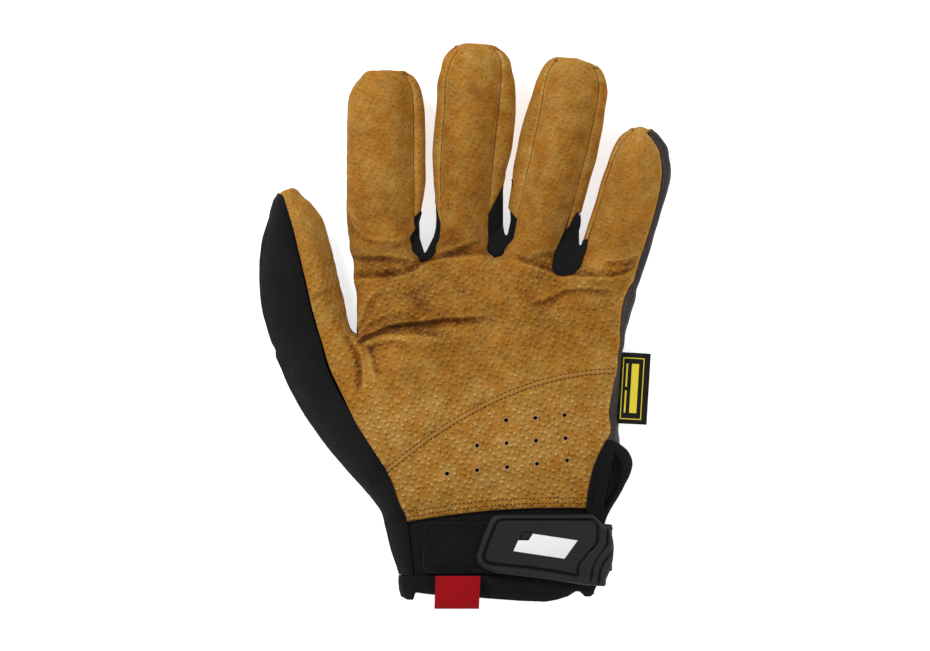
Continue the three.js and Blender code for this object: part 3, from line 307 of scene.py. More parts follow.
def apply_modifier(piece, kind, **settings):
    select_only(piece)
    made = piece.modifiers.new(kind.lower(), kind)
    for setting, value in settings.items():
        setattr(made, setting, value)
    bpy.ops.object.modifier_apply(modifier=made.name)


def bevel(piece, width, segments, angle):
    """Rounds the edges that are sharper than an angle, by a width in mm."""
    apply_modifier(
        piece, "BEVEL", width=width * MM, segments=segments, limit_method="ANGLE", angle_limit=math.radians(angle),
    )


def soften(piece, grain, rounds):
    """Rebuilds a piece of small even faces, a grain in mm broad, and rounds it off."""
    apply_modifier(piece, "REMESH", mode="VOXEL", voxel_size=grain * MM)
    apply_modifier(piece, "SMOOTH", factor=0.5, iterations=rounds)


def copy_of(node, name):
    """A piece that starts as a CAD node's mesh, with its triangles joined to quads."""
    select_only(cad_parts[node])
    bpy.ops.object.duplicate()
    piece = bpy.context.active_object
    piece.parent = None
    piece.name = piece.data.name = name
    for key in list(piece.keys()):
        del piece[key]
    piece.data.materials.clear()
    limits = {"face_threshold": math.radians(50), "shape_threshold": math.radians(60)}
    in_edit_mode(
        piece,
        (bpy.ops.mesh.remove_doubles, {"threshold": 0.01 * MM}),
        (bpy.ops.mesh.tris_convert_to_quads, limits),
    )
    return piece


def crease_sharp_edges(piece):
    """Keeps the corners of a wall's rim through the subdivision."""
    select_only(piece)
    bpy.ops.object.mode_set(mode="EDIT")
    bpy.ops.mesh.select_mode(type="EDGE")
    bpy.ops.mesh.select_all(action="DESELECT")
    bpy.ops.mesh.edges_select_sharp(sharpness=RIM_ANGLE)
    bpy.ops.transform.edge_crease(value=1)
    bpy.ops.mesh.select_mode(type="VERT")
    bpy.ops.object.mode_set(mode="OBJECT")


def read(items, name, width=1, kind=float):
    """A property of all items, in an array with a row for each."""
    values = np.empty(len(items) * width, kind)
    items.foreach_get(name, values)
    return values.reshape(-1, width) if width > 1 else values


def places_of(piece):
    return read(piece.data.vertices, "co", 3)


def normals_of(piece):
    return read(piece.data.vertex_normals, "vector", 3)


def move_to(piece, co):
    piece.data.vertices.foreach_set("co", co.reshape(-1))
    piece.data.update()


def write_attribute(piece, name, values):
    """Stores a value, or one for each vertex, for the finishes."""
    attribute = piece.data.attributes.new(name, "FLOAT", "POINT")
    attribute.data.foreach_set("value", np.full(len(piece.data.vertices), values, np.float32))


def faces_by_edge(mesh):
    sharing = {}
    for polygon in mesh.polygons:
        for key in polygon.edge_keys:
            sharing.setdefault(key, []).append(polygon)
    return sharing


def mark_rim(piece):
    """Gives the faces between a wall's outer and inner sheets material index 1."""
    mesh = piece.data
    beside_it = [[] for _ in mesh.polygons]
    for pair in faces_by_edge(mesh).values():
        if len(pair) == 2 and pair[0].normal.dot(pair[1].normal) > math.cos(RIM_ANGLE):
            beside_it[pair[0].index].append(pair[1].index)
            beside_it[pair[1].index].append(pair[0].index)
    region = np.full(len(mesh.polygons), -1)
    areas = []
    for first in range(len(mesh.polygons)):
        if region[first] >= 0:
            continue
        waiting = [first]
        region[first] = len(areas)
        areas.append(0.0)
        while waiting:
            face = waiting.pop()
            areas[-1] += mesh.polygons[face].area
            for other in beside_it[face]:
                if region[other] < 0:
                    region[other] = region[face]
                    waiting.append(other)
    # The two largest regions are the sheets; those under 20 mm2 are stray faces of theirs.
    rims = np.array(areas) > 20 * MM * MM
    rims[np.argsort(areas)[-2:]] = False
    mesh.polygons.foreach_set("material_index", rims[region].astype(np.int32))


def wall_directions(piece):
    """For each vertex the normal of its sheet, and for the rim's vertices the way out of the sheet's edge."""
    mesh = piece.data
    corners = read(mesh.loops, "vertex_index", kind=np.int32)
    totals = read(mesh.polygons, "loop_total", kind=np.int32)
    facing = read(mesh.polygons, "normal", 3) * read(mesh.polygons, "area")[:, None]
    weighted = np.repeat(facing, totals, axis=0)
    on_rim = np.repeat(read(mesh.polygons, "material_index", kind=np.int32) > 0, totals)
    sheet, edge = np.zeros((len(mesh.vertices), 3)), np.zeros((len(mesh.vertices), 3))
    np.add.at(sheet, corners[~on_rim], weighted[~on_rim])
    np.add.at(edge, corners[on_rim], weighted[on_rim])
    sheet = np.where(np.linalg.norm(sheet, axis=1)[:, None] > 0, sheet, edge)
    lengths = np.linalg.norm(edge, axis=1)
    sheet /= np.maximum(np.linalg.norm(sheet, axis=1), 1e-20)[:, None]
    return sheet, edge / np.maximum(lengths, 1e-20)[:, None], lengths > 0


def rim_push(co, edge, on_rim):
    """How each vertex near the rim follows it outward, fading over about 1 mm; and its distance from it in mm."""
    push, away = np.zeros(co.shape), np.zeros(len(co))
    where = np.flatnonzero(on_rim)
    tree = KDTree(len(where))
    for i in where:
        tree.insert(co[i], int(i))
    tree.balance()
    for i, place in enumerate(co):
        _, nearest, away[i] = tree.find(place)
        push[i] = edge[nearest]
    away /= MM
    return push * bell(away, 1.0)[:, None], away


def unevenness(co, size, seed):
    """Soft random waves of a given size, from about -1 to 1."""
    shift = Vector((seed * 3.7, seed * 1.9, seed * 5.3))
    return np.array([noise.noise(Vector(place) / size + shift) for place in co])


def fold_relief(co):
    """Height of the folds over each place, and how much it is a ridge or a crease, as painted highlight on the
    ridge and painted shade in the crease.
    """
    height = np.zeros(len(co))
    mark = np.zeros(len(co))
    for rise, reach, dip, (start, end), points in FOLDS:
        path = smooth_path(points, 1.6 * MM)
        margin = (2.5 * reach + 3) * MM  # Beyond it the fold has faded.
        near = np.all((co[:, :2] > path.min(0) - margin) & (co[:, :2] < path.max(0) + margin), axis=1)
        distance, along = measure_from(path, co[near, :2])
        distance = distance / MM
        ends = smooth_step(0, max(start, 0.001), along) * (1 - smooth_step(1 - max(end, 0.001), 1, along))
        top = np.where(distance >= 0, bell(distance, reach), bell(distance, 0.75))
        height[near] += ends * (rise * top - dip * bell(distance, 1.2, CREASE))
        # Painted highlight along the ridge and painted shade in the crease
        mark[near] += ends * (0.5 * bell(distance, 0.7, RIDGE) - 0.75 * dip * bell(distance, 1.7, CREASE))
    return height * MM, mark


# Sum of the broad painted light and shade at each place
def broad_shading_over(co):
    tone = np.zeros(len(co))
    for across, down, reach, amount in BROAD_SHADING:
        tone += amount * round_spot(co, across, down, reach * PLAN_STEP)
    return tone


def chart_cloth(piece, turn):
    """Lays the cloth map over a piece at its real size, turned by some degrees."""
    while piece.data.uv_layers:
        piece.data.uv_layers.remove(piece.data.uv_layers[0])
    piece.data.uv_layers.new(name="cloth")
    in_edit_mode(piece, (bpy.ops.uv.cube_project, {"cube_size": 1.0, "scale_to_bounds": False}))
    layer = piece.data.uv_layers["cloth"].data
    uv = read(layer, "uv", 2)
    c, s = math.cos(math.radians(turn)), math.sin(math.radians(turn))
    uv = np.column_stack([uv[:, 0] * c - uv[:, 1] * s, uv[:, 0] * s + uv[:, 1] * c])
    layer.foreach_set("uv", uv.reshape(-1))


def settle(piece, name_of_slot, material, *nodes, angle=40, turn=None):
    """Finishes a piece: cloth map, shading, material, its body and the nodes that it stands for."""
    if turn is not None:
        chart_cloth(piece, turn)
    select_only(piece)
    bpy.ops.object.shade_smooth_by_angle(angle=math.radians(angle))
    piece.data.materials.clear()
    piece.data.materials.append(material)
    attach(piece, "root")
    if nodes:
        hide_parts(*nodes)
    return piece


# Finishes

class Signal:
    """An output of a finish's nodes, so that shader maths reads as an expression."""

    def __init__(self, finish, socket):
        self.finish = finish
        self.socket = socket

    def math(self, operation, *values):
        return self.finish.node("ShaderNodeMath", {"operation": operation}, dict(enumerate(values)))

    def __add__(self, other):
        return self.math("ADD", self, other)

    def __sub__(self, other):
        return self.math("SUBTRACT", self, other)

    def __rsub__(self, other):
        return self.math("SUBTRACT", other, self)

    def __mul__(self, other):
        return self.math("MULTIPLY", self, other)

    __radd__ = __add__
    __rmul__ = __mul__

    def wave(self, pitch):
        """The sine of a length that comes round again at each pitch."""
        return self.math("SINE", self * (2 * math.pi / pitch))

    def size(self):
        return self.math("ABSOLUTE", self)

    def between(self, low, high):
        """0 below low, 1 above high and smooth in between."""
        settings = {"interpolation_type": "SMOOTHSTEP"}
        return self.finish.node("ShaderNodeMapRange", settings, {"Value": self, "From Min": low, "From Max": high})

    def clamped(self):
        return self.finish.node("ShaderNodeClamp", {}, {"Value": self})


class Finish:
    """A procedural material. Constants go straight on the shader's own sockets."""

    def __init__(self, name, **constants):
        self.material = bpy.data.materials.new(name)
        self.material.use_nodes = True
        self.tree = self.material.node_tree
        self.shader = self.tree.nodes["Principled BSDF"]
        for socket, value in constants.items():
            self.shader.inputs[socket.replace("_", " ")].default_value = value
        self.place = self.node("ShaderNodeTexCoord", {}, {}, "Object")

    def node(self, kind, settings, values, output=0):
        made = self.tree.nodes.new(kind)
        for setting, value in settings.items():
            if setting == "stops":
                ramp = made.color_ramp
                while len(ramp.elements) < len(value):
                    ramp.elements.new(0.5)
                for element, (position, colour) in zip(ramp.elements, value):
                    element.position = position
                    element.color = (*colour, 1)
            else:
                setattr(made, setting, value)
        for socket, value in values.items():
            self.feed(made.inputs[socket], value)
        return Signal(self, made.outputs[output])

    def feed(self, socket, value):
        if isinstance(value, Signal):
            self.tree.links.new(value.socket, socket)
        else:
            socket.default_value = value

    def noise(self, size, detail=2.0, output=0):
        """Cloudy noise whose features are about a size in mm."""
        values = {"Vector": self.place, "Scale": 1000 / size, "Detail": detail}
        return self.node("ShaderNodeTexNoise", {}, values, output)

    def cells(self, size, output="Distance", feature="F1", where=None, flat=False, random_share=1.0):
        """Cells of about a size in mm. flat draws them in two dimensions only."""
        settings = {"feature": feature, "voronoi_dimensions": "2D" if flat else "3D"}
        values = {"Vector": where or self.place, "Scale": 1000 / size, "Randomness": random_share}
        return self.node("ShaderNodeTexVoronoi", settings, values, output)

    def attribute(self, name):
        return self.node("ShaderNodeAttribute", {"attribute_name": name}, {}, "Fac")

    def chart(self):
        return self.node("ShaderNodeUVMap", {"uv_map": "cloth"}, {})

    def cloth(self):
        """The piece's cloth map, in mm along two directions."""
        chart = self.chart()
        return tuple(self.node("ShaderNodeSeparateXYZ", {}, {0: chart}, axis) * 1000 for axis in "XY")

    def shifted(self, where, by):
        return self.node("ShaderNodeVectorMath", {"operation": "ADD"}, {0: where, 1: by})

    def ramp(self, value, *stops):
        return self.node("ShaderNodeValToRGB", {"stops": stops}, {0: value})

    def mix(self, share, first, second):
        colours = [c if isinstance(c, Signal) else (*c, 1) for c in (first, second)]
        values = {0: share, 6: colours[0], 7: colours[1]}
        return self.node("ShaderNodeMix", {"data_type": "RGBA"}, values, 2)

    def wear(self, colour, roughness, height, depth):
        """Connects what changes over the surface. depth is the relief's height in mm."""
        values = {"Height": height, "Distance": depth * MM, "Strength": 1.0}
        bump = self.node("ShaderNodeBump", {}, values, "Normal")
        for socket, value in (("Base Color", colour), ("Roughness", roughness), ("Normal", bump)):
            self.feed(self.shader.inputs[socket], value)
        return self.material

    def coat(self, shade, first, second, *rest):
        """Wear in a mix of two colours, by a shade from 0 to 1."""
        return self.wear(self.mix(shade, first, second), *rest)


def suede_finish(name, pink=0.0):
    """Tan split leather: fuzzy nap, pressed with small pits on the hand and pebbles on the heel."""
    finish = Finish(
        name, Sheen_Weight=0.06, Sheen_Roughness=0.4, Sheen_Tint=(1, 0.75, 0.4, 1), Specular_IOR_Level=0.08,
    )
    wobble = finish.noise(25 / 6, 1.0, "Color")
    shift = finish.node("ShaderNodeVectorMath", {"operation": "SCALE"}, {0: wobble, "Scale": 0.0022})
    drawn = finish.shifted(finish.chart(), shift)

    # Pits: cells along slanting strokes, with a pale fleck of painted highlight on the side that faces the light
    turned = {"Rotation": (0, 0, math.radians(-32)), "Scale": (1.22, 0.82, 1)}
    strokes = finish.node("ShaderNodeMapping", {"vector_type": "TEXTURE"}, {"Vector": drawn, **turned})
    lit_side = finish.shifted(strokes, (0.00012, -0.00052, 0))
    rows = {"size": 2.5, "flat": True, "random_share": 0.5}
    spacing = finish.cells(where=strokes, **rows)
    colours = finish.cells(output="Color", where=strokes, **rows)
    chance = finish.node("ShaderNodeSeparateColor", {}, {0: colours}, "Red")
    pit = (1 - spacing.between(0.05, 0.27)) * (0.45 + 0.55 * chance)
    painted_highlight = (1 - finish.cells(where=lit_side, **rows).between(0.02, 0.24)) * chance

    # Pebbles: round domes, painted paler on top as highlight, each with painted shade on its shaded side
    turned = {"Rotation": (0, 0, math.radians(27)), "Scale": (1, 1.1, 1)}
    slanted = finish.node("ShaderNodeMapping", {}, {"Vector": drawn, **turned})
    shaded_side = finish.shifted(slanted, (-0.00075, 0.0006, 0))
    dome, painted_dome_shade = (
        (1 - 3.0 * finish.cells(2.95, where=where, flat=True, random_share=0.6)).clamped()
        for where in (slanted, shaded_side)
    )
    painted_dome_shade = painted_dome_shade * (1 - dome)

    nap = finish.noise(0.3, 3.0)
    fuzz = finish.noise(0.85, 3.0)
    patch = finish.noise(6, 3.0)
    broad = finish.noise(24)
    hue = finish.noise(9, 3.0).between(0.36, 0.66)
    tone, mark, pebble = (finish.attribute(name) for name in ("tone", "mark", "pebble"))
    sunk = pit * (1 - pebble)
    # The shade mixes the leather's own random patches and nap with painted light and shade: broad patches, the
    # folds' and seams' highlights and shade, highlights on flecks and dome tops, and shade beside the domes
    shade = (0.5 + 0.3 * tone + 0.5 * mark + 0.55 * (patch - 0.5) + 0.4 * (broad - 0.5)
             + 0.35 * (fuzz - 0.5) + 0.3 * (nap - 0.5) - 0.12 * sunk + 0.34 * painted_highlight * (1 - 0.4 * pebble)
             + pebble * (0.42 * dome - 0.34 * painted_dome_shade + 0.02)).clamped()
    ochre = finish.ramp(
        shade, (0.0, (0.08, 0.024, 0.003)), (0.25, (0.21, 0.076, 0.0095)), (0.5, (0.335, 0.138, 0.016)),
        (0.75, (0.42, 0.198, 0.035)), (1.0, (0.58, 0.36, 0.115)),
    )
    sand = finish.ramp(
        shade, (0.0, (0.08, 0.03, 0.006)), (0.25, (0.2, 0.09, 0.018)), (0.5, (0.33, 0.168, 0.031)),
        (0.75, (0.42, 0.24, 0.06)), (1.0, (0.58, 0.4, 0.16)),
    )
    colour = finish.mix(0.32 * sunk, finish.mix(0.75 * hue, ochre, sand), (0.16, 0.05, 0.006))
    if pink:
        colour = finish.mix(pink, colour, (0.4, 0.2, 0.085))
    height = 1.15 * dome * pebble - 0.9 * sunk + 0.25 * fuzz + 0.2 * nap
    return finish.wear(colour, 0.86 + 0.1 * fuzz, height, 0.5)


def dark_leather_finish():
    """Brown-black leather with a coarse grain, paler in random rubbed patches, with painted highlight and shade
    along its seams.
    """
    finish = Finish("dark_leather", Specular_IOR_Level=0.35)
    grain = finish.cells(1.3, feature="DISTANCE_TO_EDGE")
    fine = finish.noise(0.5, 3.0)
    broad = finish.noise(18, 3.0)
    mark = finish.attribute("mark")
    lines = 1 - grain.between(0.0, 0.16)
    # Painted highlight and shade along the seams come in from the panel's attribute
    shade = 0.42 + 0.5 * (broad - 0.5) + 0.3 * (fine - 0.5) + 0.5 * mark - 0.3 * lines
    colour = finish.ramp(
        shade.clamped(), (0.0, (0.008, 0.006, 0.006)), (0.45, (0.034, 0.026, 0.025)), (1.0, (0.11, 0.085, 0.08)),
    )
    height = 0.8 * grain.between(0.0, 0.3) + 0.2 * fine
    return finish.wear(colour, 0.55 + 0.25 * (1 - broad), height, 0.16)


def cloth_finish(name, pitch, dark, light, depth, kind):
    """Black cloth. kind is how its threads run: plain, twill, rib or cord."""
    finish = Finish(name, Specular_IOR_Level=0.12, Sheen_Weight=0.03, Sheen_Roughness=0.4)
    u, v = finish.cloth()
    drift = 0.6 * finish.noise(6, 1.0)
    if kind == "plain":
        threads = 0.5 + 0.5 * (u + drift).wave(pitch) * (v + drift).wave(pitch)
    elif kind == "twill":
        threads = 0.5 + 0.25 * (u + v).wave(pitch) + 0.25 * (u + 0.35 * v).wave(pitch / 3)
    elif kind == "rib":
        rib = (u + 0.35 * drift).wave(2 * pitch).size()
        threads = rib * (0.72 + 0.28 * (v + rib * 0.35).wave(pitch / 1.2))
    else:
        threads = 0.55 + 0.3 * v.wave(pitch) + 0.15 * u.wave(pitch / 0.7)
    lint = finish.noise(0.4, 4.0)
    broad = finish.noise(16, 3.0)
    mark = finish.attribute("mark")
    # The attribute adds painted highlight and shade along the hem's and slit's seams
    shade = 0.12 + 0.62 * threads + 0.45 * (broad - 0.5) + 0.35 * (lint - 0.5) + 0.5 * mark
    return finish.coat(shade.clamped(), dark, light, 0.78 + 0.15 * lint, threads + 0.3 * lint, depth)


def pile_finish():
    """Short loops of the patch that the tab grips."""
    finish = Finish("loop_pile", Specular_IOR_Level=0.1, Sheen_Weight=0.04, Sheen_Roughness=0.5)
    curls = finish.cells(0.75)
    fluff = finish.noise(0.45, 4.0)
    broad = finish.noise(7)
    shade = 0.25 + 0.55 * (1 - curls) * fluff + 0.4 * (broad - 0.5)
    dark, light = (0.002, 0.002, 0.0021), (0.016, 0.016, 0.0165)
    return finish.coat(shade.clamped(), dark, light, 0.9 + 0.08 * fluff, (1 - curls) + 0.6 * fluff, 0.4)


def rubber_finish():
    """Matt moulded rubber, with painted highlights on its rim and ridges and painted shade in its grooves."""
    finish = Finish("moulded_rubber", Specular_IOR_Level=0.26)
    grain = finish.noise(0.18)
    broad = finish.noise(14, 3.0)
    mark = finish.attribute("mark")
    # The tab's painted highlights and shade come in through the attribute
    shade = 0.35 + 0.35 * (broad - 0.5) + 0.2 * (grain - 0.5) + 0.6 * mark
    dark, light = (0.003, 0.003, 0.0033), (0.017, 0.0172, 0.0182)
    return finish.coat(shade.clamped(), dark, light, 0.42 + 0.14 * broad + 0.1 * grain, grain, 0.03)


def inlay_finish():
    finish = Finish("pale_inlay", Specular_IOR_Level=0.35)
    grain = finish.noise(0.25)
    broad = finish.noise(9, 3.0)
    shade = (0.35 * broad + 0.3 * grain).clamped()
    return finish.coat(shade, (0.84, 0.84, 0.86), (0.72, 0.72, 0.75), 0.42 + 0.12 * broad, grain, 0.02)


def webbing_finish():
    """Red ribbed tape."""
    finish = Finish("red_webbing", Specular_IOR_Level=0.12, Sheen_Weight=0.02, Sheen_Roughness=0.4)
    u, v = finish.cloth()
    threads = 0.5 + 0.34 * v.wave(0.82) + 0.16 * u.wave(0.62)
    lint = finish.noise(0.35, 3.0)
    broad = finish.noise(8)
    shade = 0.1 + 0.75 * threads + 0.4 * (broad - 0.5) + 0.25 * (lint - 0.5) + 0.5 * finish.attribute("mark")
    dark, light = (0.19, 0.0008, 0.002), (0.46, 0.003, 0.008)
    return finish.coat(shade.clamped(), dark, light, 0.7 + 0.15 * lint, threads + 0.15 * lint, 0.22)


def thread_finish(name, dark, light):
    finish = Finish(name, Specular_IOR_Level=0.25)
    strand = finish.noise(0.22, 3.0)
    return finish.coat(strand.between(0.3, 0.7), dark, light, 0.7 + 0.2 * strand, strand, 0.05)


SUEDE = suede_finish("tan_suede")
BAND_SUEDE = suede_finish("seam_suede", pink=0.16)
DARK_LEATHER = dark_leather_finish()
STRETCH = cloth_finish("stretch_cloth", 0.7, (0.0025, 0.0026, 0.003), (0.013, 0.0138, 0.0155), 0.12, "plain")
WOVEN = cloth_finish("woven_cloth", 1.3, (0.0015, 0.0015, 0.0018), (0.021, 0.0215, 0.0235), 0.6, "twill")
KNIT = cloth_finish("ribbed_knit", 1.25, (0.0015, 0.0015, 0.0016), (0.0165, 0.0165, 0.017), 0.4, "rib")
BINDING = cloth_finish("binding_tape", 0.95, (0.002, 0.002, 0.0021), (0.0125, 0.0125, 0.013), 0.3, "rib")
ELASTIC = cloth_finish("elastic_strap", 1.1, (0.003, 0.003, 0.0032), (0.018, 0.018, 0.0195), 0.25, "cord")
PILE = pile_finish()
RUBBER = rubber_finish()
INLAY = inlay_finish()
WEBBING = webbing_finish()
LABEL = cloth_finish("label_cloth", 0.5, (0.004, 0.004, 0.0035), (0.02, 0.02, 0.018), 0.05, "plain")
YELLOW = thread_finish("yellow_thread", (0.62, 0.48, 0.02), (0.85, 0.72, 0.06))
BROWN_THREAD = thread_finish("brown_thread", (0.022, 0.009, 0.003), (0.07, 0.03, 0.01))
CUT_EDGE = thread_finish("cut_edge", (0.3, 0.2, 0.11), (0.45, 0.34, 0.22))
BLACK_THREAD = thread_finish("black_thread", (0.006, 0.006, 0.007), (0.03, 0.03, 0.033))


# Sewn panels: each starts from its node's wall, is subdivided and then shaped

def even_out(piece, share, rounds):
    """Draws each place towards its neighbours, by its share."""
    co = places_of(piece)
    start = co.copy()
    a, b = read(piece.data.edges, "vertices", 2, np.int32).T
    count = np.bincount(a, minlength=len(co)) + np.bincount(b, minlength=len(co))
    for _ in range(rounds):
        total = np.stack([
            np.bincount(a, co[b, k], len(co)) + np.bincount(b, co[a, k], len(co)) for k in range(3)
        ], axis=1)
        co += 0.85 * share[:, None] * (total / count[:, None] - co)
    co[:, :2] = start[:, :2] + 0.6 * (co[:, :2] - start[:, :2])
    move_to(piece, co)


def slant_joints(co, part):
    """Turns the strips' lower ends to the slant that they are cut to."""
    for gusset, strip, middle, lean, half, inner, outer in SLANTS:
        if part not in (gusset, strip):
            continue
        c, s = math.cos(math.radians(lean)), math.sin(math.radians(lean))
        down = np.array([-s, -c]) if abs(lean) <= 90 else np.array([s, c])
        offset = co[:, :2] - plan(*middle)
        sideways = offset @ np.array([c, -s]) / PLAN_STEP
        across = np.clip(sideways / half, -1.3, 1.3)
        shift = (outer + inner) / 2 + across * (outer - inner) / 2
        share = bell(offset @ down / PLAN_STEP, 26) * (np.abs(sideways) < 2.2 * half)
        co[:, :2] += (shift * share * PLAN_STEP)[:, None] * down
    return co


def nudge(co):
    """Moves places on the plan to the outline's finer shape."""
    flat = co[:, :2].copy()
    for across, down, reach, right, lower in NUDGES:
        share = round_spot(flat, across, down, reach * PLAN_STEP)
        co[:, :2] += share[:, None] * np.array((right, -lower)) * PLAN_STEP
    return co


def surface_of(*pieces):
    """What the stitches are laid on."""
    corners, faces = [], []
    for piece in pieces:
        start = len(corners)
        corners.extend(v.co.copy() for v in piece.data.vertices)
        faces.extend([start + v for v in polygon.vertices] for polygon in piece.data.polygons)
    return BVHTree.FromPolygons(corners, faces)


def seen_on(surface, x, y):
    """The surface's place and normal straight below a place above the glove."""
    return surface.ray_cast(Vector((x, y, ABOVE)), Vector((0, 0, -1)))[:2]


# How far a panel rolls in along its rims, and how far it swells between them, in mm
ROLL, SWELL = 0.28, 0.2


def sewn_panel(node, name, levels, waves=0.2, folds=False, edge_mark=0.4, slant=None, close=0.3):
    """A panel's wall, its rims brought together along the seams and rolled in, with soft waves and folds, and
    painted shade and highlight along its seams and folds.
    """
    piece = copy_of(node, name)
    for _ in range(2):
        piece.data.materials.append(None)
    mark_rim(piece)
    crease_sharp_edges(piece)
    apply_modifier(piece, "SUBSURF", levels=levels, render_levels=levels)
    co = places_of(piece)
    if name == "palm":
        thumb = smooth_step(-46 * MM, -52 * MM, co[:, 0])
        even_out(piece, thumb * ~wall_directions(piece)[2], 90)
    if name == "thumb_side":
        even_out(piece, round_spot(co, 275.5, 352, 2.5 * MM), 4)
    co = places_of(piece)
    normals, edge, on_rim = wall_directions(piece)
    push, away = rim_push(co, edge, on_rim)

    # Palm and heel stay flat along the seam between them, where a band covers it.
    flat = 1.0
    if name in ("palm", "heel"):
        flat = smooth_step(2.5, 5, np.abs(measure_from(HEEL_PATH, co[:, :2])[0]) / MM)
    pucker = 1 + 0.7 * unevenness(co, 2.6 * MM, 1)
    height = ROLL * (0.45 * bell(away, 1.2, 2.0) - bell(away, 0.8)) * pucker * flat
    inner = smooth_step(0.5, 3.0, away)
    height += inner * (SWELL + waves * (unevenness(co, 11 * MM, 2) + 0.5 * unevenness(co, 4.5 * MM, 3)))
    co = co + (normals * height[:, None] + push * close) * MM
    # Painted shade in the seam at the rim, and a pale band of painted highlight on the rolled edge beside it
    mark = edge_mark * (bell(away, 0.5, 0.75) - 0.7 * bell(away, 0.3)) * flat
    if folds:
        relief, painted_fold_shading = fold_relief(co)
        upright = smooth_step(0.1, 0.6, np.abs(normals[:, 2])) * smooth_step(0.2, 1.5, away)
        co[:, 2] += relief * upright
        mark += painted_fold_shading * upright
    if slant:
        co = slant_joints(co, slant)
    co = nudge(co)
    co[:, 2] = np.maximum(co[:, 2], LOWEST)
    on_hand, on_heel = smooth_step(36 * MM, 22 * MM, co[:, 1]), smooth_step(-15 * MM, -45 * MM, co[:, 1])
    write_attribute(piece, "mark", mark)
    write_attribute(piece, "tone", broad_shading_over(co))
    write_attribute(piece, "pebble", 0.3 + 0.4 * on_hand + 0.3 * on_heel)
    move_to(piece, co)
    if name in ("palm", "heel"):
        # A dark cord stands in for the shade in the seams' gaps
        settle(seam_shade_cord(piece, name + "_seam_line"), "suede", BROWN_THREAD, angle=80)
    piece.data.polygons.foreach_set("material_index", np.zeros(len(piece.data.polygons), np.int32))
    bevel(piece, 0.22, 1 if folds else 2, 55)
    return piece


def trim_hem(piece):
    """Brings the hem's lower edge to its line on the plan, as a soft roll."""
    co = places_of(piece)
    line = straight_path(HEM_EDGE, 0.4 * MM)
    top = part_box("hem_binding")[1].y
    start = co[:, 0].min()
    columns = np.round((co[:, 0] - start) / (2 * MM)).astype(int)
    filled = np.unique(columns)
    lowest = np.interp(co[:, 0], start + 2 * MM * filled, [co[columns == c, 1].min() for c in filled])
    wanted = np.interp(co[:, 0], line[:, 0], line[:, 1])
    share = (top - co[:, 1]) / (top - np.minimum(lowest, top - 1 * MM))
    co[:, 1] = top - share * (top - wanted)
    middle = (co[:, 2].max() + co[:, 2].min()) / 2
    round_in = 1.6 * MM * np.clip(share, 0, 1) ** 4 + 0.5 * MM * np.clip(1 - share, 0, 1) ** 4
    co[:, 2] -= np.sign(co[:, 2] - middle) * round_in
    co[:, 2] = np.maximum(co[:, 2], LOWEST)
    move_to(piece, co)


def seam_shade_cord(piece, name):
    """Thin dark cord of painted shade in the closed seams' gaps, along the upper edges of a panel's outer sheet."""
    mesh = piece.data
    corners, edges, known = [], [], {}
    for key, pair in faces_by_edge(mesh).items():
        if len(pair) != 2 or pair[0].material_index == pair[1].material_index:
            continue
        sheet = pair[0] if pair[0].material_index == 0 else pair[1]
        middle = (mesh.vertices[key[0]].co + mesh.vertices[key[1]].co) / 2
        near_heel, _ = measure_from(HEEL_PATH, np.array([middle[:2]]))
        if sheet.normal.z < 0.15 or abs(near_heel[0]) < 3 * MM:
            continue
        for v in key:
            if v not in known:
                known[v] = len(corners)
                corners.append(mesh.vertices[v].co - sheet.normal * 0.06 * MM)
        edges.append((known[key[0]], known[key[1]]))
    select_only(piece_from(name, corners, [], edges))
    bpy.ops.object.convert(target="CURVE")
    cord = bpy.context.active_object
    cord.data.bevel_depth = 0.22 * MM
    cord.data.bevel_resolution = 1
    bpy.ops.object.convert(target="MESH")
    return bpy.context.active_object


def panel(node, name, levels, name_of_slot, material, turn=0, **shaping):
    """A sewn panel with its finish. turn is the cloth map's, in degrees."""
    return settle(sewn_panel(node, name, levels, **shaping), name_of_slot, material, node, turn=turn)


HEEL_PATH = smooth_path(HEEL_SEAM, 0.6 * MM)
palm = panel("palm_panel", "palm", 3, "suede", SUEDE, folds=True)
heel = panel("heel_panel", "heel", 2, "suede", SUEDE, waves=0.1)
for strip in ("index_right", "middle_left", "middle_right", "ring_left", "ring_right", "pinky_left"):
    panel(strip + "_strip", strip + "_wall", 3, "suede", SUEDE, waves=0.12, slant=strip, close=0.5)
panel("back_panel", "hand_back", 2, "dark_leather", DARK_LEATHER, turn=None, waves=0.25)
for gusset in ("index_middle", "middle_ring", "ring_pinky"):
    panel(
        "fourchette_" + gusset, "gusset_" + gusset, 3, "stretch_cloth", STRETCH,
        waves=0.15, edge_mark=0.0, slant=gusset,
    )
panel("thumb_side_panel", "thumb_side", 2, "woven_cloth", WOVEN, turn=20, waves=0.3, edge_mark=0.0)
for side in ("front", "back"):
    panel("cuff_" + side, "wrist_knit_" + side, 3, "knit", KNIT, waves=0.25, edge_mark=0.0)
hem = sewn_panel("hem_binding", "hem", 3, edge_mark=0.1)
trim_hem(hem)
settle(hem, "binding", BINDING, "hem_binding", turn=0)
panel("slit_binding", "slit_edge", 2, "binding", BINDING, edge_mark=0.3)


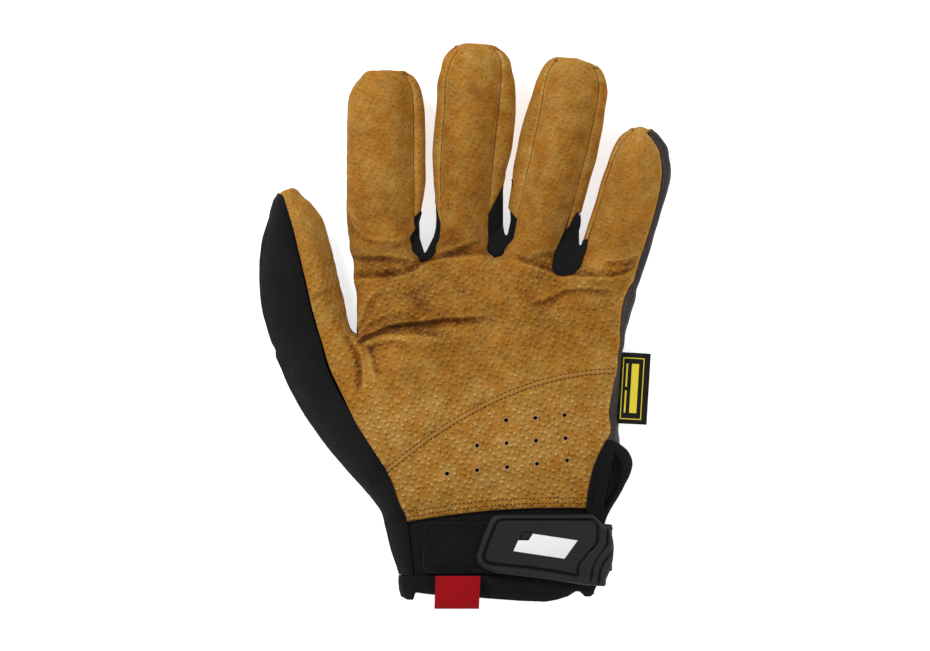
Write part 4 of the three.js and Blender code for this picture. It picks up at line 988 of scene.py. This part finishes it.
def swept_band(name, stations, thickness=1.9):
    """A soft knitted lip along stations: plan across and down, height, half width, tilt in degrees."""
    centre = smooth_path([station[:2] for station in stations], 1.0 * MM)
    share = np.linspace(0, 1, len(centre))
    knots = np.linspace(0, 1, len(stations))
    height, half, tilt = (np.interp(share, knots, [station[k] for station in stations]) for k in (2, 3, 4))
    count = 14  # corners round the lip
    corners, faces = [], []
    for i, (spot, left) in enumerate(zip(centre, beside(centre, 1.0))):
        outward = (left - spot) / np.linalg.norm(left - spot)
        c, s = math.cos(math.radians(tilt[i])), math.sin(math.radians(tilt[i]))
        across, upward = np.array((*(outward * c), -s)), np.array((*(outward * s), c))
        for turn in np.linspace(0, 2 * math.pi, count, endpoint=False):
            corners.append(np.array((*spot, height[i] * MM)) + across * math.cos(turn) * half[i] * MM
                           + upward * math.sin(turn) * thickness / 2 * MM)
    for i in range(len(centre) - 1):
        for k in range(count):
            a, b = i * count + k, i * count + (k + 1) % count
            faces.append((a, b, b + count, a + count))
    faces.append(tuple(range(count)))
    faces.append(tuple(range(len(corners) - count, len(corners))))
    piece = piece_from(name, corners, faces)
    in_edit_mode(piece, (bpy.ops.mesh.normals_make_consistent, {"inside": False}))
    apply_modifier(piece, "SUBSURF", levels=1, render_levels=1)
    co, normals = places_of(piece), normals_of(piece)
    move_to(piece, co + normals * (0.15 * MM * unevenness(co, 5 * MM, 4))[:, None])
    write_attribute(piece, "mark", 0.0)
    settle(piece, "binding", BINDING, turn=0)


def soft_plate(node, name, width):
    """A plain strip from its node, with edges rounded by a width in mm."""
    piece = copy_of(node, name)
    in_edit_mode(piece, (bpy.ops.mesh.dissolve_limited, {"angle_limit": math.radians(2)}))
    bevel(piece, width, 3, 50)
    in_edit_mode(piece, (bpy.ops.mesh.quads_convert_to_tris, {}))
    write_attribute(piece, "mark", 0.0)
    return piece


settle(soft_plate("closure_strap", "elastic_strap", 0.45), "elastic", ELASTIC, "closure_strap", turn=90)

# The loop narrows and leans a little to the left towards its lower end.
loop = soft_plate("pull_loop", "red_pull_loop", 0.4)
co = places_of(loop)
middle = (co[:, 0].max() + co[:, 0].min()) / 2
lean = smooth_step(-109 * MM, -122 * MM, co[:, 1])
co[:, 0] = middle - 0.45 * MM + (co[:, 0] - middle) * 0.96 - 0.5 * MM * lean
co[:, 1] += 0.4 * MM * smooth_step(-112 * MM, -122 * MM, co[:, 1])
move_to(loop, co)
settle(loop, "webbing", WEBBING, "pull_loop", turn=0)


# Rubber tab, patch, the cloth at the gaps' feet and the seams' ends

# The tab's outline, grooves and sunk square, and the pale inlay's outline, on the plan
TAB_EDGE = [
    (497, 514.5), (592, 513.8), (600, 521.5), (604.5, 526), (613.2, 527.2), (611.3, 531.5), (612.7, 538),
    (613.8, 546), (612.9, 559), (610.5, 569), (606, 579), (605.6, 585), (603, 586), (587, 585), (571, 582.6),
    (546, 578.6), (513, 574.8), (496, 573), (483, 568.6), (477.5, 563.5), (475.9, 556.5), (482.1, 537.5),
    (489.5, 520.5), (493, 516),
]
TAB_GROOVES = [
    [
        (577.2, 575.3), (561.4, 571.9), (532, 567.5), (491.5, 563.3), (485.5, 561.2), (483.5, 557), (485, 551),
        (495, 525.5), (498.5, 520.6), (503.5, 519.1), (591, 519.1), (595.5, 521.3), (597.4, 526), (597.3, 541),
        (595.5, 545), (589.2, 551.3), (579.6, 563), (577.6, 568), (577.2, 575.3),
    ],
    [(607.4, 528.5), (607.4, 541), (605.5, 546.5), (595.8, 560.5), (592, 568), (590.6, 580.5)],
    [(614.2, 545), (609.8, 554.3), (603.2, 563.1), (599.5, 571.9), (598.4, 582.5)],
]
TAB_SQUARE = [(520.3, 539.6), (530.6, 532.2)]
TAB_BOTTOM, TAB_TOP = 16.9 * MM, 19.7 * MM
TAB_BEND = (48 * MM, 64 * MM)  # It bends down between these places across.
INLAY_BOTTOM, INLAY_TOP = 18.9 * MM, 20.12 * MM
INLAY_EDGE = [
    (518.1, 539.9), (528.4, 539.9), (532.8, 533.2), (577.5, 539.9), (564.3, 558.2), (513.2, 550.6),
]


def plate_from(edge, name, bottom, top):
    """A flat plate whose outline is drawn on the plan."""
    piece = added(bpy.ops.mesh.primitive_circle_add, name, vertices=len(edge), radius=0.01, fill_type="NGON")
    corners = [plan(*corner) for corner in edge]
    turned = sum(a[0] * b[1] - b[0] * a[1] for a, b in zip(corners, corners[1:] + corners[:1])) < 0
    ring = list(piece.data.polygons[0].vertices)
    facing = piece.data.polygons[0].normal.z > 0
    for v, (x, y) in zip(ring if facing else ring[::-1], corners[::-1] if turned else corners):
        piece.data.vertices[v].co = (x, y, bottom)
    in_edit_mode(
        piece,
        (bpy.ops.mesh.extrude_region_move, {"TRANSFORM_OT_translate": {"value": (0, 0, top - bottom)}}),
        (bpy.ops.mesh.select_all, {"action": "SELECT"}),
        (bpy.ops.mesh.normals_make_consistent, {"inside": False}),
    )
    return piece


def depth_inside(co, low, high):
    """How far each place is inside a rectangle, in mm."""
    return np.minimum.reduce([co[:, 0] - low[0], high[0] - co[:, 0], co[:, 1] - low[1], high[1] - co[:, 1]]) / MM


def rubber_tab():
    """Moulded tab: a beaded rim, a groove inside it and stepped ridges at its folded end, with painted highlights
    on the rim, ridges and bent end and painted shade in the grooves and sunk square.
    """
    piece = plate_from(TAB_EDGE, "rubber_tab", TAB_BOTTOM, TAB_TOP)
    soften(piece, 0.3, 4)
    co = places_of(piece)
    edge, _ = measure_from(straight_path(TAB_EDGE + TAB_EDGE[:1], 1 * MM), co[:, :2])
    edge = np.abs(edge) / MM
    height = 0.45 * bell(edge, 1.0, 1.5) - 0.5 * bell(edge, 0.7)
    # Painted highlight along the rim's bead
    mark = 0.35 * bell(edge, 0.8, 1.0)
    for i, groove in enumerate(TAB_GROOVES):
        distance, _ = measure_from(straight_path(groove, 0.6 * MM), co[:, :2])
        distance = distance / MM
        height -= (0.8 if i else 0.95) * bell(distance, 0.5)
        # Painted shade in the grooves
        mark -= bell(distance, 0.6)
        if i:
            # Each stepped ridge rises beside its groove, with a painted highlight
            height += 0.35 * np.where(distance < 0, np.exp(distance / 1.8), 0)
            mark += 0.25 * np.where(distance < 0, np.exp(distance / 0.8), 0)
    inside = depth_inside(co, *(plan(*corner) for corner in TAB_SQUARE))
    ring = bell(inside, 0.35)
    height += 0.25 - 1.1 * smooth_step(*TAB_BEND, co[:, 0]) ** 2 - 0.4 * ring - 0.2 * (inside > 0)
    # Painted highlight on the bent end, and painted shade round and inside the sunk square
    mark += 0.5 * smooth_step(56 * MM, TAB_BEND[1], co[:, 0]) - 0.8 * ring - 0.35 * (inside > 0)
    upper = smooth_step(TAB_BOTTOM + 0.8 * MM, TAB_TOP - 0.5 * MM, co[:, 2])
    co[:, 2] += upper * height * MM
    move_to(piece, co)
    write_attribute(piece, "mark", mark * upper)
    settle(piece, "rubber", RUBBER, "strap_tab", angle=60)


def tab_plate():
    piece = plate_from(INLAY_EDGE, "pale_inlay", INLAY_BOTTOM, INLAY_TOP)
    bevel(piece, 0.16, 3, 40)
    settle(piece, "inlay", INLAY, "tab_inlay")


def grip_patch():
    """Soft patch with a stitched, turned edge."""
    piece = copy_of("loop_patch", "grip_patch")
    soften(piece, 0.35, 3)
    co, normals = places_of(piece), normals_of(piece)
    inside = depth_inside(co, *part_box("loop_patch"))
    tufts = np.abs(unevenness(co, 0.55 * MM, 5)) + 0.5 * unevenness(co, 3 * MM, 6)
    height = smooth_step(2.4, 3.2, inside) * (0.05 + 0.4 * tufts) - 0.25 * bell(inside, 0.4, 2.2)
    up = smooth_step(0.2, 0.7, normals[:, 2])
    move_to(piece, co + normals * (height * up * MM)[:, None])
    # Painted shade in the groove along the stitched edge
    write_attribute(piece, "mark", -0.2 * bell(inside, 0.5, 2.2))
    return settle(piece, "loop_pile", PILE, "loop_patch", angle=60)


def gap_web(part, leather_beside, outline, surface):
    """Cloth at the foot of a gap, a little below the leather and sloping down towards the fingertips."""
    leather = seen_on(surface, *plan(*leather_beside))[0].z
    web = plate_from(outline, "web_" + part, leather - 5.0 * MM, leather - 1.9 * MM)
    soften(web, 0.35, 3)
    co = places_of(web)
    beyond = np.maximum(co[:, 1] - co[:, 1].min() - 4 * MM, 0)
    co[:, 2] -= np.minimum(0.42 * beyond, 5.5 * MM)
    move_to(web, co)
    write_attribute(web, "mark", 0.0)
    settle(web, "stretch_cloth", STRETCH, turn=0)


def seam_end(across, down, aside, surface):
    """A knot of leather where a finger's seam ends at its tip, a little lower than the leather aside of it."""
    x, y = plan(across, down)
    leather = seen_on(surface, x + aside * MM, y - 2.2 * MM)[0].z
    knot = added(
        bpy.ops.mesh.primitive_uv_sphere_add, "seam_end", segments=20, ring_count=12, radius=0.9 * MM,
        location=(x, y, leather - 3.3 * MM),
    )
    knot.scale = (1, 0.8, 2.4)
    bpy.ops.object.transform_apply(location=True, rotation=False, scale=True)
    for attribute, value in (("mark", 0.0), ("tone", 0.0), ("pebble", 0.2)):
        write_attribute(knot, attribute, value)
    settle(knot, "suede", SUEDE, turn=0)


# The slit's lips: stations for swept_band
SLIT_OUTER = [
    (605, 441.5, 14.0, 1.6, 15), (611, 444.5, 13.0, 2.4, 15), (617.5, 449, 11.2, 2.9, 22),
    (623.3, 454.5, 9.4, 3.0, 36), (627.2, 461.5, 7.9, 2.6, 42), (627.2, 470, 7.3, 2.2, 42),
    (623.5, 481, 7.0, 2.0, 42), (617.0, 494.5, 6.9, 1.9, 40), (608.5, 508, 6.9, 2.0, 38),
    (602.5, 521, 6.8, 2.0, 35), (600, 534, 6.8, 1.8, 35),
]
SLIT_INNER = [
    (609, 447, 13.6, 1.8, -14), (607.5, 456, 13.4, 2.6, -14), (604.5, 467, 13.3, 2.9, -14),
    (601.8, 480, 13.1, 2.7, -14), (599.8, 494, 12.9, 2.5, -14), (598.9, 508, 12.7, 2.7, -14),
    (597.6, 521, 12.5, 2.4, -14), (597, 534, 12.3, 2.4, -14),
]
# The ends of the finger seams, and how far to their right, in mm, lies the leather that sets their height
KNOTS = [(406, 74, -0.8), (456, 46.5, 0.8), (496.5, 48.5, -0.8), (555.5, 59.5, 0.8), (594.5, 67, -0.8)]

swept_band("slit_outer_lip", SLIT_OUTER)
swept_band("slit_inner_lip", SLIT_INNER)
palm_surface = surface_of(palm)
for web in WEBS:
    gap_web(*web, palm_surface)
for knot in KNOTS:
    seam_end(*knot, palm_surface)
rubber_tab()
tab_plate()
patch = grip_patch()


# Side tag: woven tape with a pattern of bars. Lengths are in mm, from the tag's seam and middle.

TAG_WIDTH, TAG_LENGTH = 13.2, 30.8
TAG_FRAME = (
    Matrix.Translation((66.1 * MM, -26.7 * MM, 9.9 * MM))
    @ Matrix.Rotation(math.radians(-3.3), 4, "Z") @ Matrix.Rotation(math.radians(14), 4, "Y")
)
BORDER_LEFT, BORDER_LOW, BORDER_RIGHT, BORDER_HIGH = 0.9, -13.4, 10.4, 13.2
BORDER = 0.38
BARS = [
    (BORDER_LEFT, BORDER_LOW, BORDER_LEFT + BORDER, BORDER_HIGH),
    (BORDER_RIGHT - BORDER, BORDER_LOW, BORDER_RIGHT, BORDER_HIGH),
    (BORDER_LEFT + BORDER, BORDER_LOW, BORDER_RIGHT - BORDER, BORDER_LOW + BORDER),
    (BORDER_LEFT + BORDER, BORDER_HIGH - BORDER, BORDER_RIGHT - BORDER, BORDER_HIGH),
    (4.9, -10.6, 8.1, 10.6), (2.5, -10.6, 3.2, -1.0), (2.5, 0.6, 3.2, 10.6),
]


def flat_tape(name, left, low, right, high, bottom, thickness, cell):
    """A flat rectangle of tape, in cells so that it can be bent."""
    across, along = (max(2, int(length / cell)) for length in (right - left, high - low))
    piece = added(bpy.ops.mesh.primitive_grid_add, name, x_subdivisions=across, y_subdivisions=along, size=1)
    co = places_of(piece)
    co[:, 0] = left + (co[:, 0] + 0.5) * (right - left)
    co[:, 1] = low + (co[:, 1] + 0.5) * (high - low)
    co[:, 2] = bottom
    move_to(piece, co * MM)
    apply_modifier(piece, "SOLIDIFY", thickness=thickness * MM, offset=1.0)
    return piece


def bend_to_seam(piece):
    """Curls flat tape a little and moves it to the tag's seam."""
    for vertex, (x, y, z) in zip(piece.data.vertices, places_of(piece) / MM):
        curl = 0.18 * math.sin(x / TAG_WIDTH * math.pi) + 0.12 * math.sin(y / TAG_LENGTH * 5.0)
        vertex.co = TAG_FRAME @ (Vector((x, y, z + curl)) * MM)


def join(pieces, name):
    select_only(pieces[0])
    for piece in pieces[1:]:
        piece.select_set(True)
    bpy.ops.object.join()
    piece = bpy.context.active_object
    piece.name = piece.data.name = name
    return piece


tag = flat_tape("side_tag", 0, -TAG_LENGTH / 2, TAG_WIDTH, TAG_LENGTH / 2, 0.25, 0.75, 0.507)
bevel(tag, 0.2, 2, 50)
chart_cloth(tag, 0)
bend_to_seam(tag)
write_attribute(tag, "mark", 0.0)
settle(tag, "label_cloth", LABEL, "side_label")
bars = [flat_tape("bar", *bar, 0.92, 0.2, 0.4) for bar in BARS]
for bar in bars:
    bend_to_seam(bar)
settle(join(bars, "tag_pattern"), "label_cloth", YELLOW)


# Stitches

def one_stitch():
    """The places and faces of a stitch of unit radius, along x."""
    piece = added(
        bpy.ops.mesh.primitive_uv_sphere_add, "stitch", segments=7, ring_count=6, radius=1,
        rotation=(0, math.pi / 2, 0),
    )
    bpy.ops.object.transform_apply(location=False, rotation=True, scale=False)
    shape = places_of(piece)
    faces = [tuple(polygon.vertices) for polygon in piece.data.polygons]
    bpy.data.objects.remove(piece)
    return shape, faces


STITCH_SHAPE, STITCH_FACES = one_stitch()


def sew(name, rows, surface, material, name_of_slot, pitch, length, radius):
    """Rows of stitches laid on a surface from above. Lengths are in mm."""
    corners, faces = [], []
    for row in rows:
        path = even_path(row, pitch * MM)
        for first, second in zip(path, path[1:]):
            hit, normal = seen_on(surface, *(first + second) / 2)
            if hit is None:
                continue
            along = Vector((*(second - first), 0))
            along = (along - normal * along.dot(normal)).normalized()
            along.rotate(Matrix.Rotation(random.gauss(0, 0.06), 3, normal))
            across = normal.cross(along)
            reach = length * random.uniform(0.92, 1.08) / 2
            centre = hit + normal * radius * 0.3 * MM
            start = len(corners)
            for x, y, z in STITCH_SHAPE:
                up = radius * z - 0.25 * radius * x * x
                corners.append(centre + (along * reach * x + across * radius * y + normal * up) * MM)
            faces.extend(tuple(start + v for v in face) for face in STITCH_FACES)
    settle(piece_from(name, corners, faces), name_of_slot, material, angle=80)


def seam_band(path, width, surface, name):
    """Narrow crowned band of leather along a seam, its edges let into the panels."""
    corners, faces = [], []
    shares = np.linspace(-1, 1, 9)  # across the band
    for centre, left in zip(path, beside(path, 1.0)):
        across = (left - centre) / MM
        rests = [seen_on(surface, *(centre + across * side * width * 0.62 * MM))[0] for side in (-1.0, 1.0)]
        known = [rest.z for rest in rests if rest] or [0.02]
        low, high = (rest.z if rest else known[0] for rest in rests)
        for share in shares:
            spot = centre + across * share * width / 2 * MM
            crown = 0.3 * (1 - abs(share) ** 3) - 0.3 * abs(share) ** 6
            corners.append((*spot, low + (high - low) * (share + 1) / 2 + crown * MM))
    count = len(shares)
    for i in range(len(path) - 1):
        for a in range(i * count, i * count + count - 1):
            faces.append((a, a + count, a + count + 1, a + 1))
    piece = piece_from(name, corners, faces)
    in_edit_mode(piece, (bpy.ops.mesh.normals_make_consistent, {"inside": False}))
    if piece.data.polygons[len(piece.data.polygons) // 2].normal.z < 0:
        in_edit_mode(piece, (bpy.ops.mesh.flip_normals, {}))
    apply_modifier(piece, "SOLIDIFY", thickness=0.6 * MM, offset=-1.0)
    write_attribute(piece, "mark", 0.1)
    write_attribute(piece, "tone", broad_shading_over(places_of(piece)))
    return settle(piece, "suede", BAND_SUEDE)


HOLES = [
    (506, 420), (535, 418), (564.3, 415), (477, 445.3), (506.5, 443), (535.8, 440.4), (565.4, 438),
    (447, 473.3), (477, 470), (507.2, 467), (537, 463.7), (567, 460.4),
]


def hole_edges(surface):
    """Pale cut edge of each hole, laid to the leather's slope round it."""
    rings = []
    for hole in HOLES:
        x, y = plan(*hole)
        round_it = []
        for angle in np.linspace(0, 2 * math.pi, 8, endpoint=False):
            spot = seen_on(surface, x + 1.7 * MM * math.cos(angle), y + 1.7 * MM * math.sin(angle))[0]
            round_it.append((spot.x - x, spot.y - y, spot.z))
        round_it = np.array(round_it)
        level = round_it[:, 2].mean()
        slope = [(round_it[:, k] * (round_it[:, 2] - level)).sum() / (round_it[:, k] ** 2).sum() for k in (0, 1)]
        rings.append(added(
            bpy.ops.mesh.primitive_torus_add, "hole_edge", major_radius=1.14 * MM, minor_radius=0.14 * MM,
            major_segments=24, minor_segments=8, location=(x, y, level - 0.03 * MM),
            rotation=Vector((-slope[0], -slope[1], 1)).to_track_quat("Z", "Y").to_euler(),
        ))
    piece = join(rings, "hole_edges")
    bpy.ops.object.transform_apply(location=True, rotation=True, scale=True)
    settle(piece, "suede", CUT_EDGE)


palm_leather = surface_of(palm, heel)
hole_edges(palm_leather)
band = seam_band(HEEL_PATH, 2.0, palm_leather, "heel_seam_band")
palm_leather = surface_of(palm, heel, band)
heel_rows = [beside(HEEL_PATH, offset) for offset in (0.95, -0.95)]
sew("heel_stitches", heel_rows, palm_leather, BROWN_THREAD, "suede", pitch=1.9, length=1.35, radius=0.21)
wrist_path = smooth_path(WRIST_SEAM, 0.6 * MM)
wrist_rows = [beside(wrist_path, offset) for offset in (1.9, 4.1)]
sew("wrist_stitches", wrist_rows, palm_leather, BROWN_THREAD, "suede", pitch=1.7, length=1.2, radius=0.2)
patch_edge = straight_path([(433.5, 527), (424, 551), (423, 566), (427, 572.5), (478, 573.5)], 1 * MM)
sew("patch_stitches", [patch_edge], surface_of(patch), BLACK_THREAD, "loop_pile", pitch=1.8, length=1.3, radius=0.2)


# Floor, light and camera

def floor_finish():
    finish = Finish(
        "pale_floor", Roughness=0.9, Specular_IOR_Level=0.1, Emission_Color=(1, 1, 1, 1), Emission_Strength=0.65,
    )
    cloud = finish.mix(finish.noise(300), (0.94, 0.94, 0.94), (0.96, 0.96, 0.96))
    finish.feed(finish.shader.inputs["Base Color"], cloud)
    return finish.material


floor = added(bpy.ops.mesh.primitive_plane_add, "floor", size=6, location=(0, 0, -0.0002))
bpy.ops.object.transform_apply(location=True, rotation=False, scale=False)
floor.data.materials.append(floor_finish())

world = bpy.data.worlds.new("studio")
bpy.context.scene.world = world
world.use_nodes = True
background = world.node_tree.nodes["Background"]
background.inputs["Color"].default_value = (1, 1, 1, 1)
background.inputs["Strength"].default_value = 0.6


def soft_light(name, place, size, power):
    data = bpy.data.lights.new(name, "AREA")
    data.shape = "DISK"
    data.size = size
    data.energy = power
    light = placed(name, data)
    light.location = place
    light.rotation_euler = (-Vector(place)).to_track_quat("-Z", "Y").to_euler()


soft_light("key", (-0.75, 0.95, 0.95), 0.5, 13.0)
soft_light("fill", (0.9, -0.3, 1.2), 1.2, 4.5)

# The camera stands so high that a step of the plan at the palm's height is one of its 930 pixels across.
LENS, SENSOR, PIXELS_ACROSS, PALM_HEIGHT = 180, 36, 930, 15 * MM
camera_data = bpy.data.cameras.new("camera")
camera_data.lens = LENS
camera_data.sensor_width = SENSOR
camera = placed("camera", camera_data)
camera.location = (*plan(465, 325.5), PALM_HEIGHT + LENS / SENSOR * PIXELS_ACROSS * PLAN_STEP)
bpy.context.scene.camera = camera
bpy.context.scene.view_settings.view_transform = "Standard"
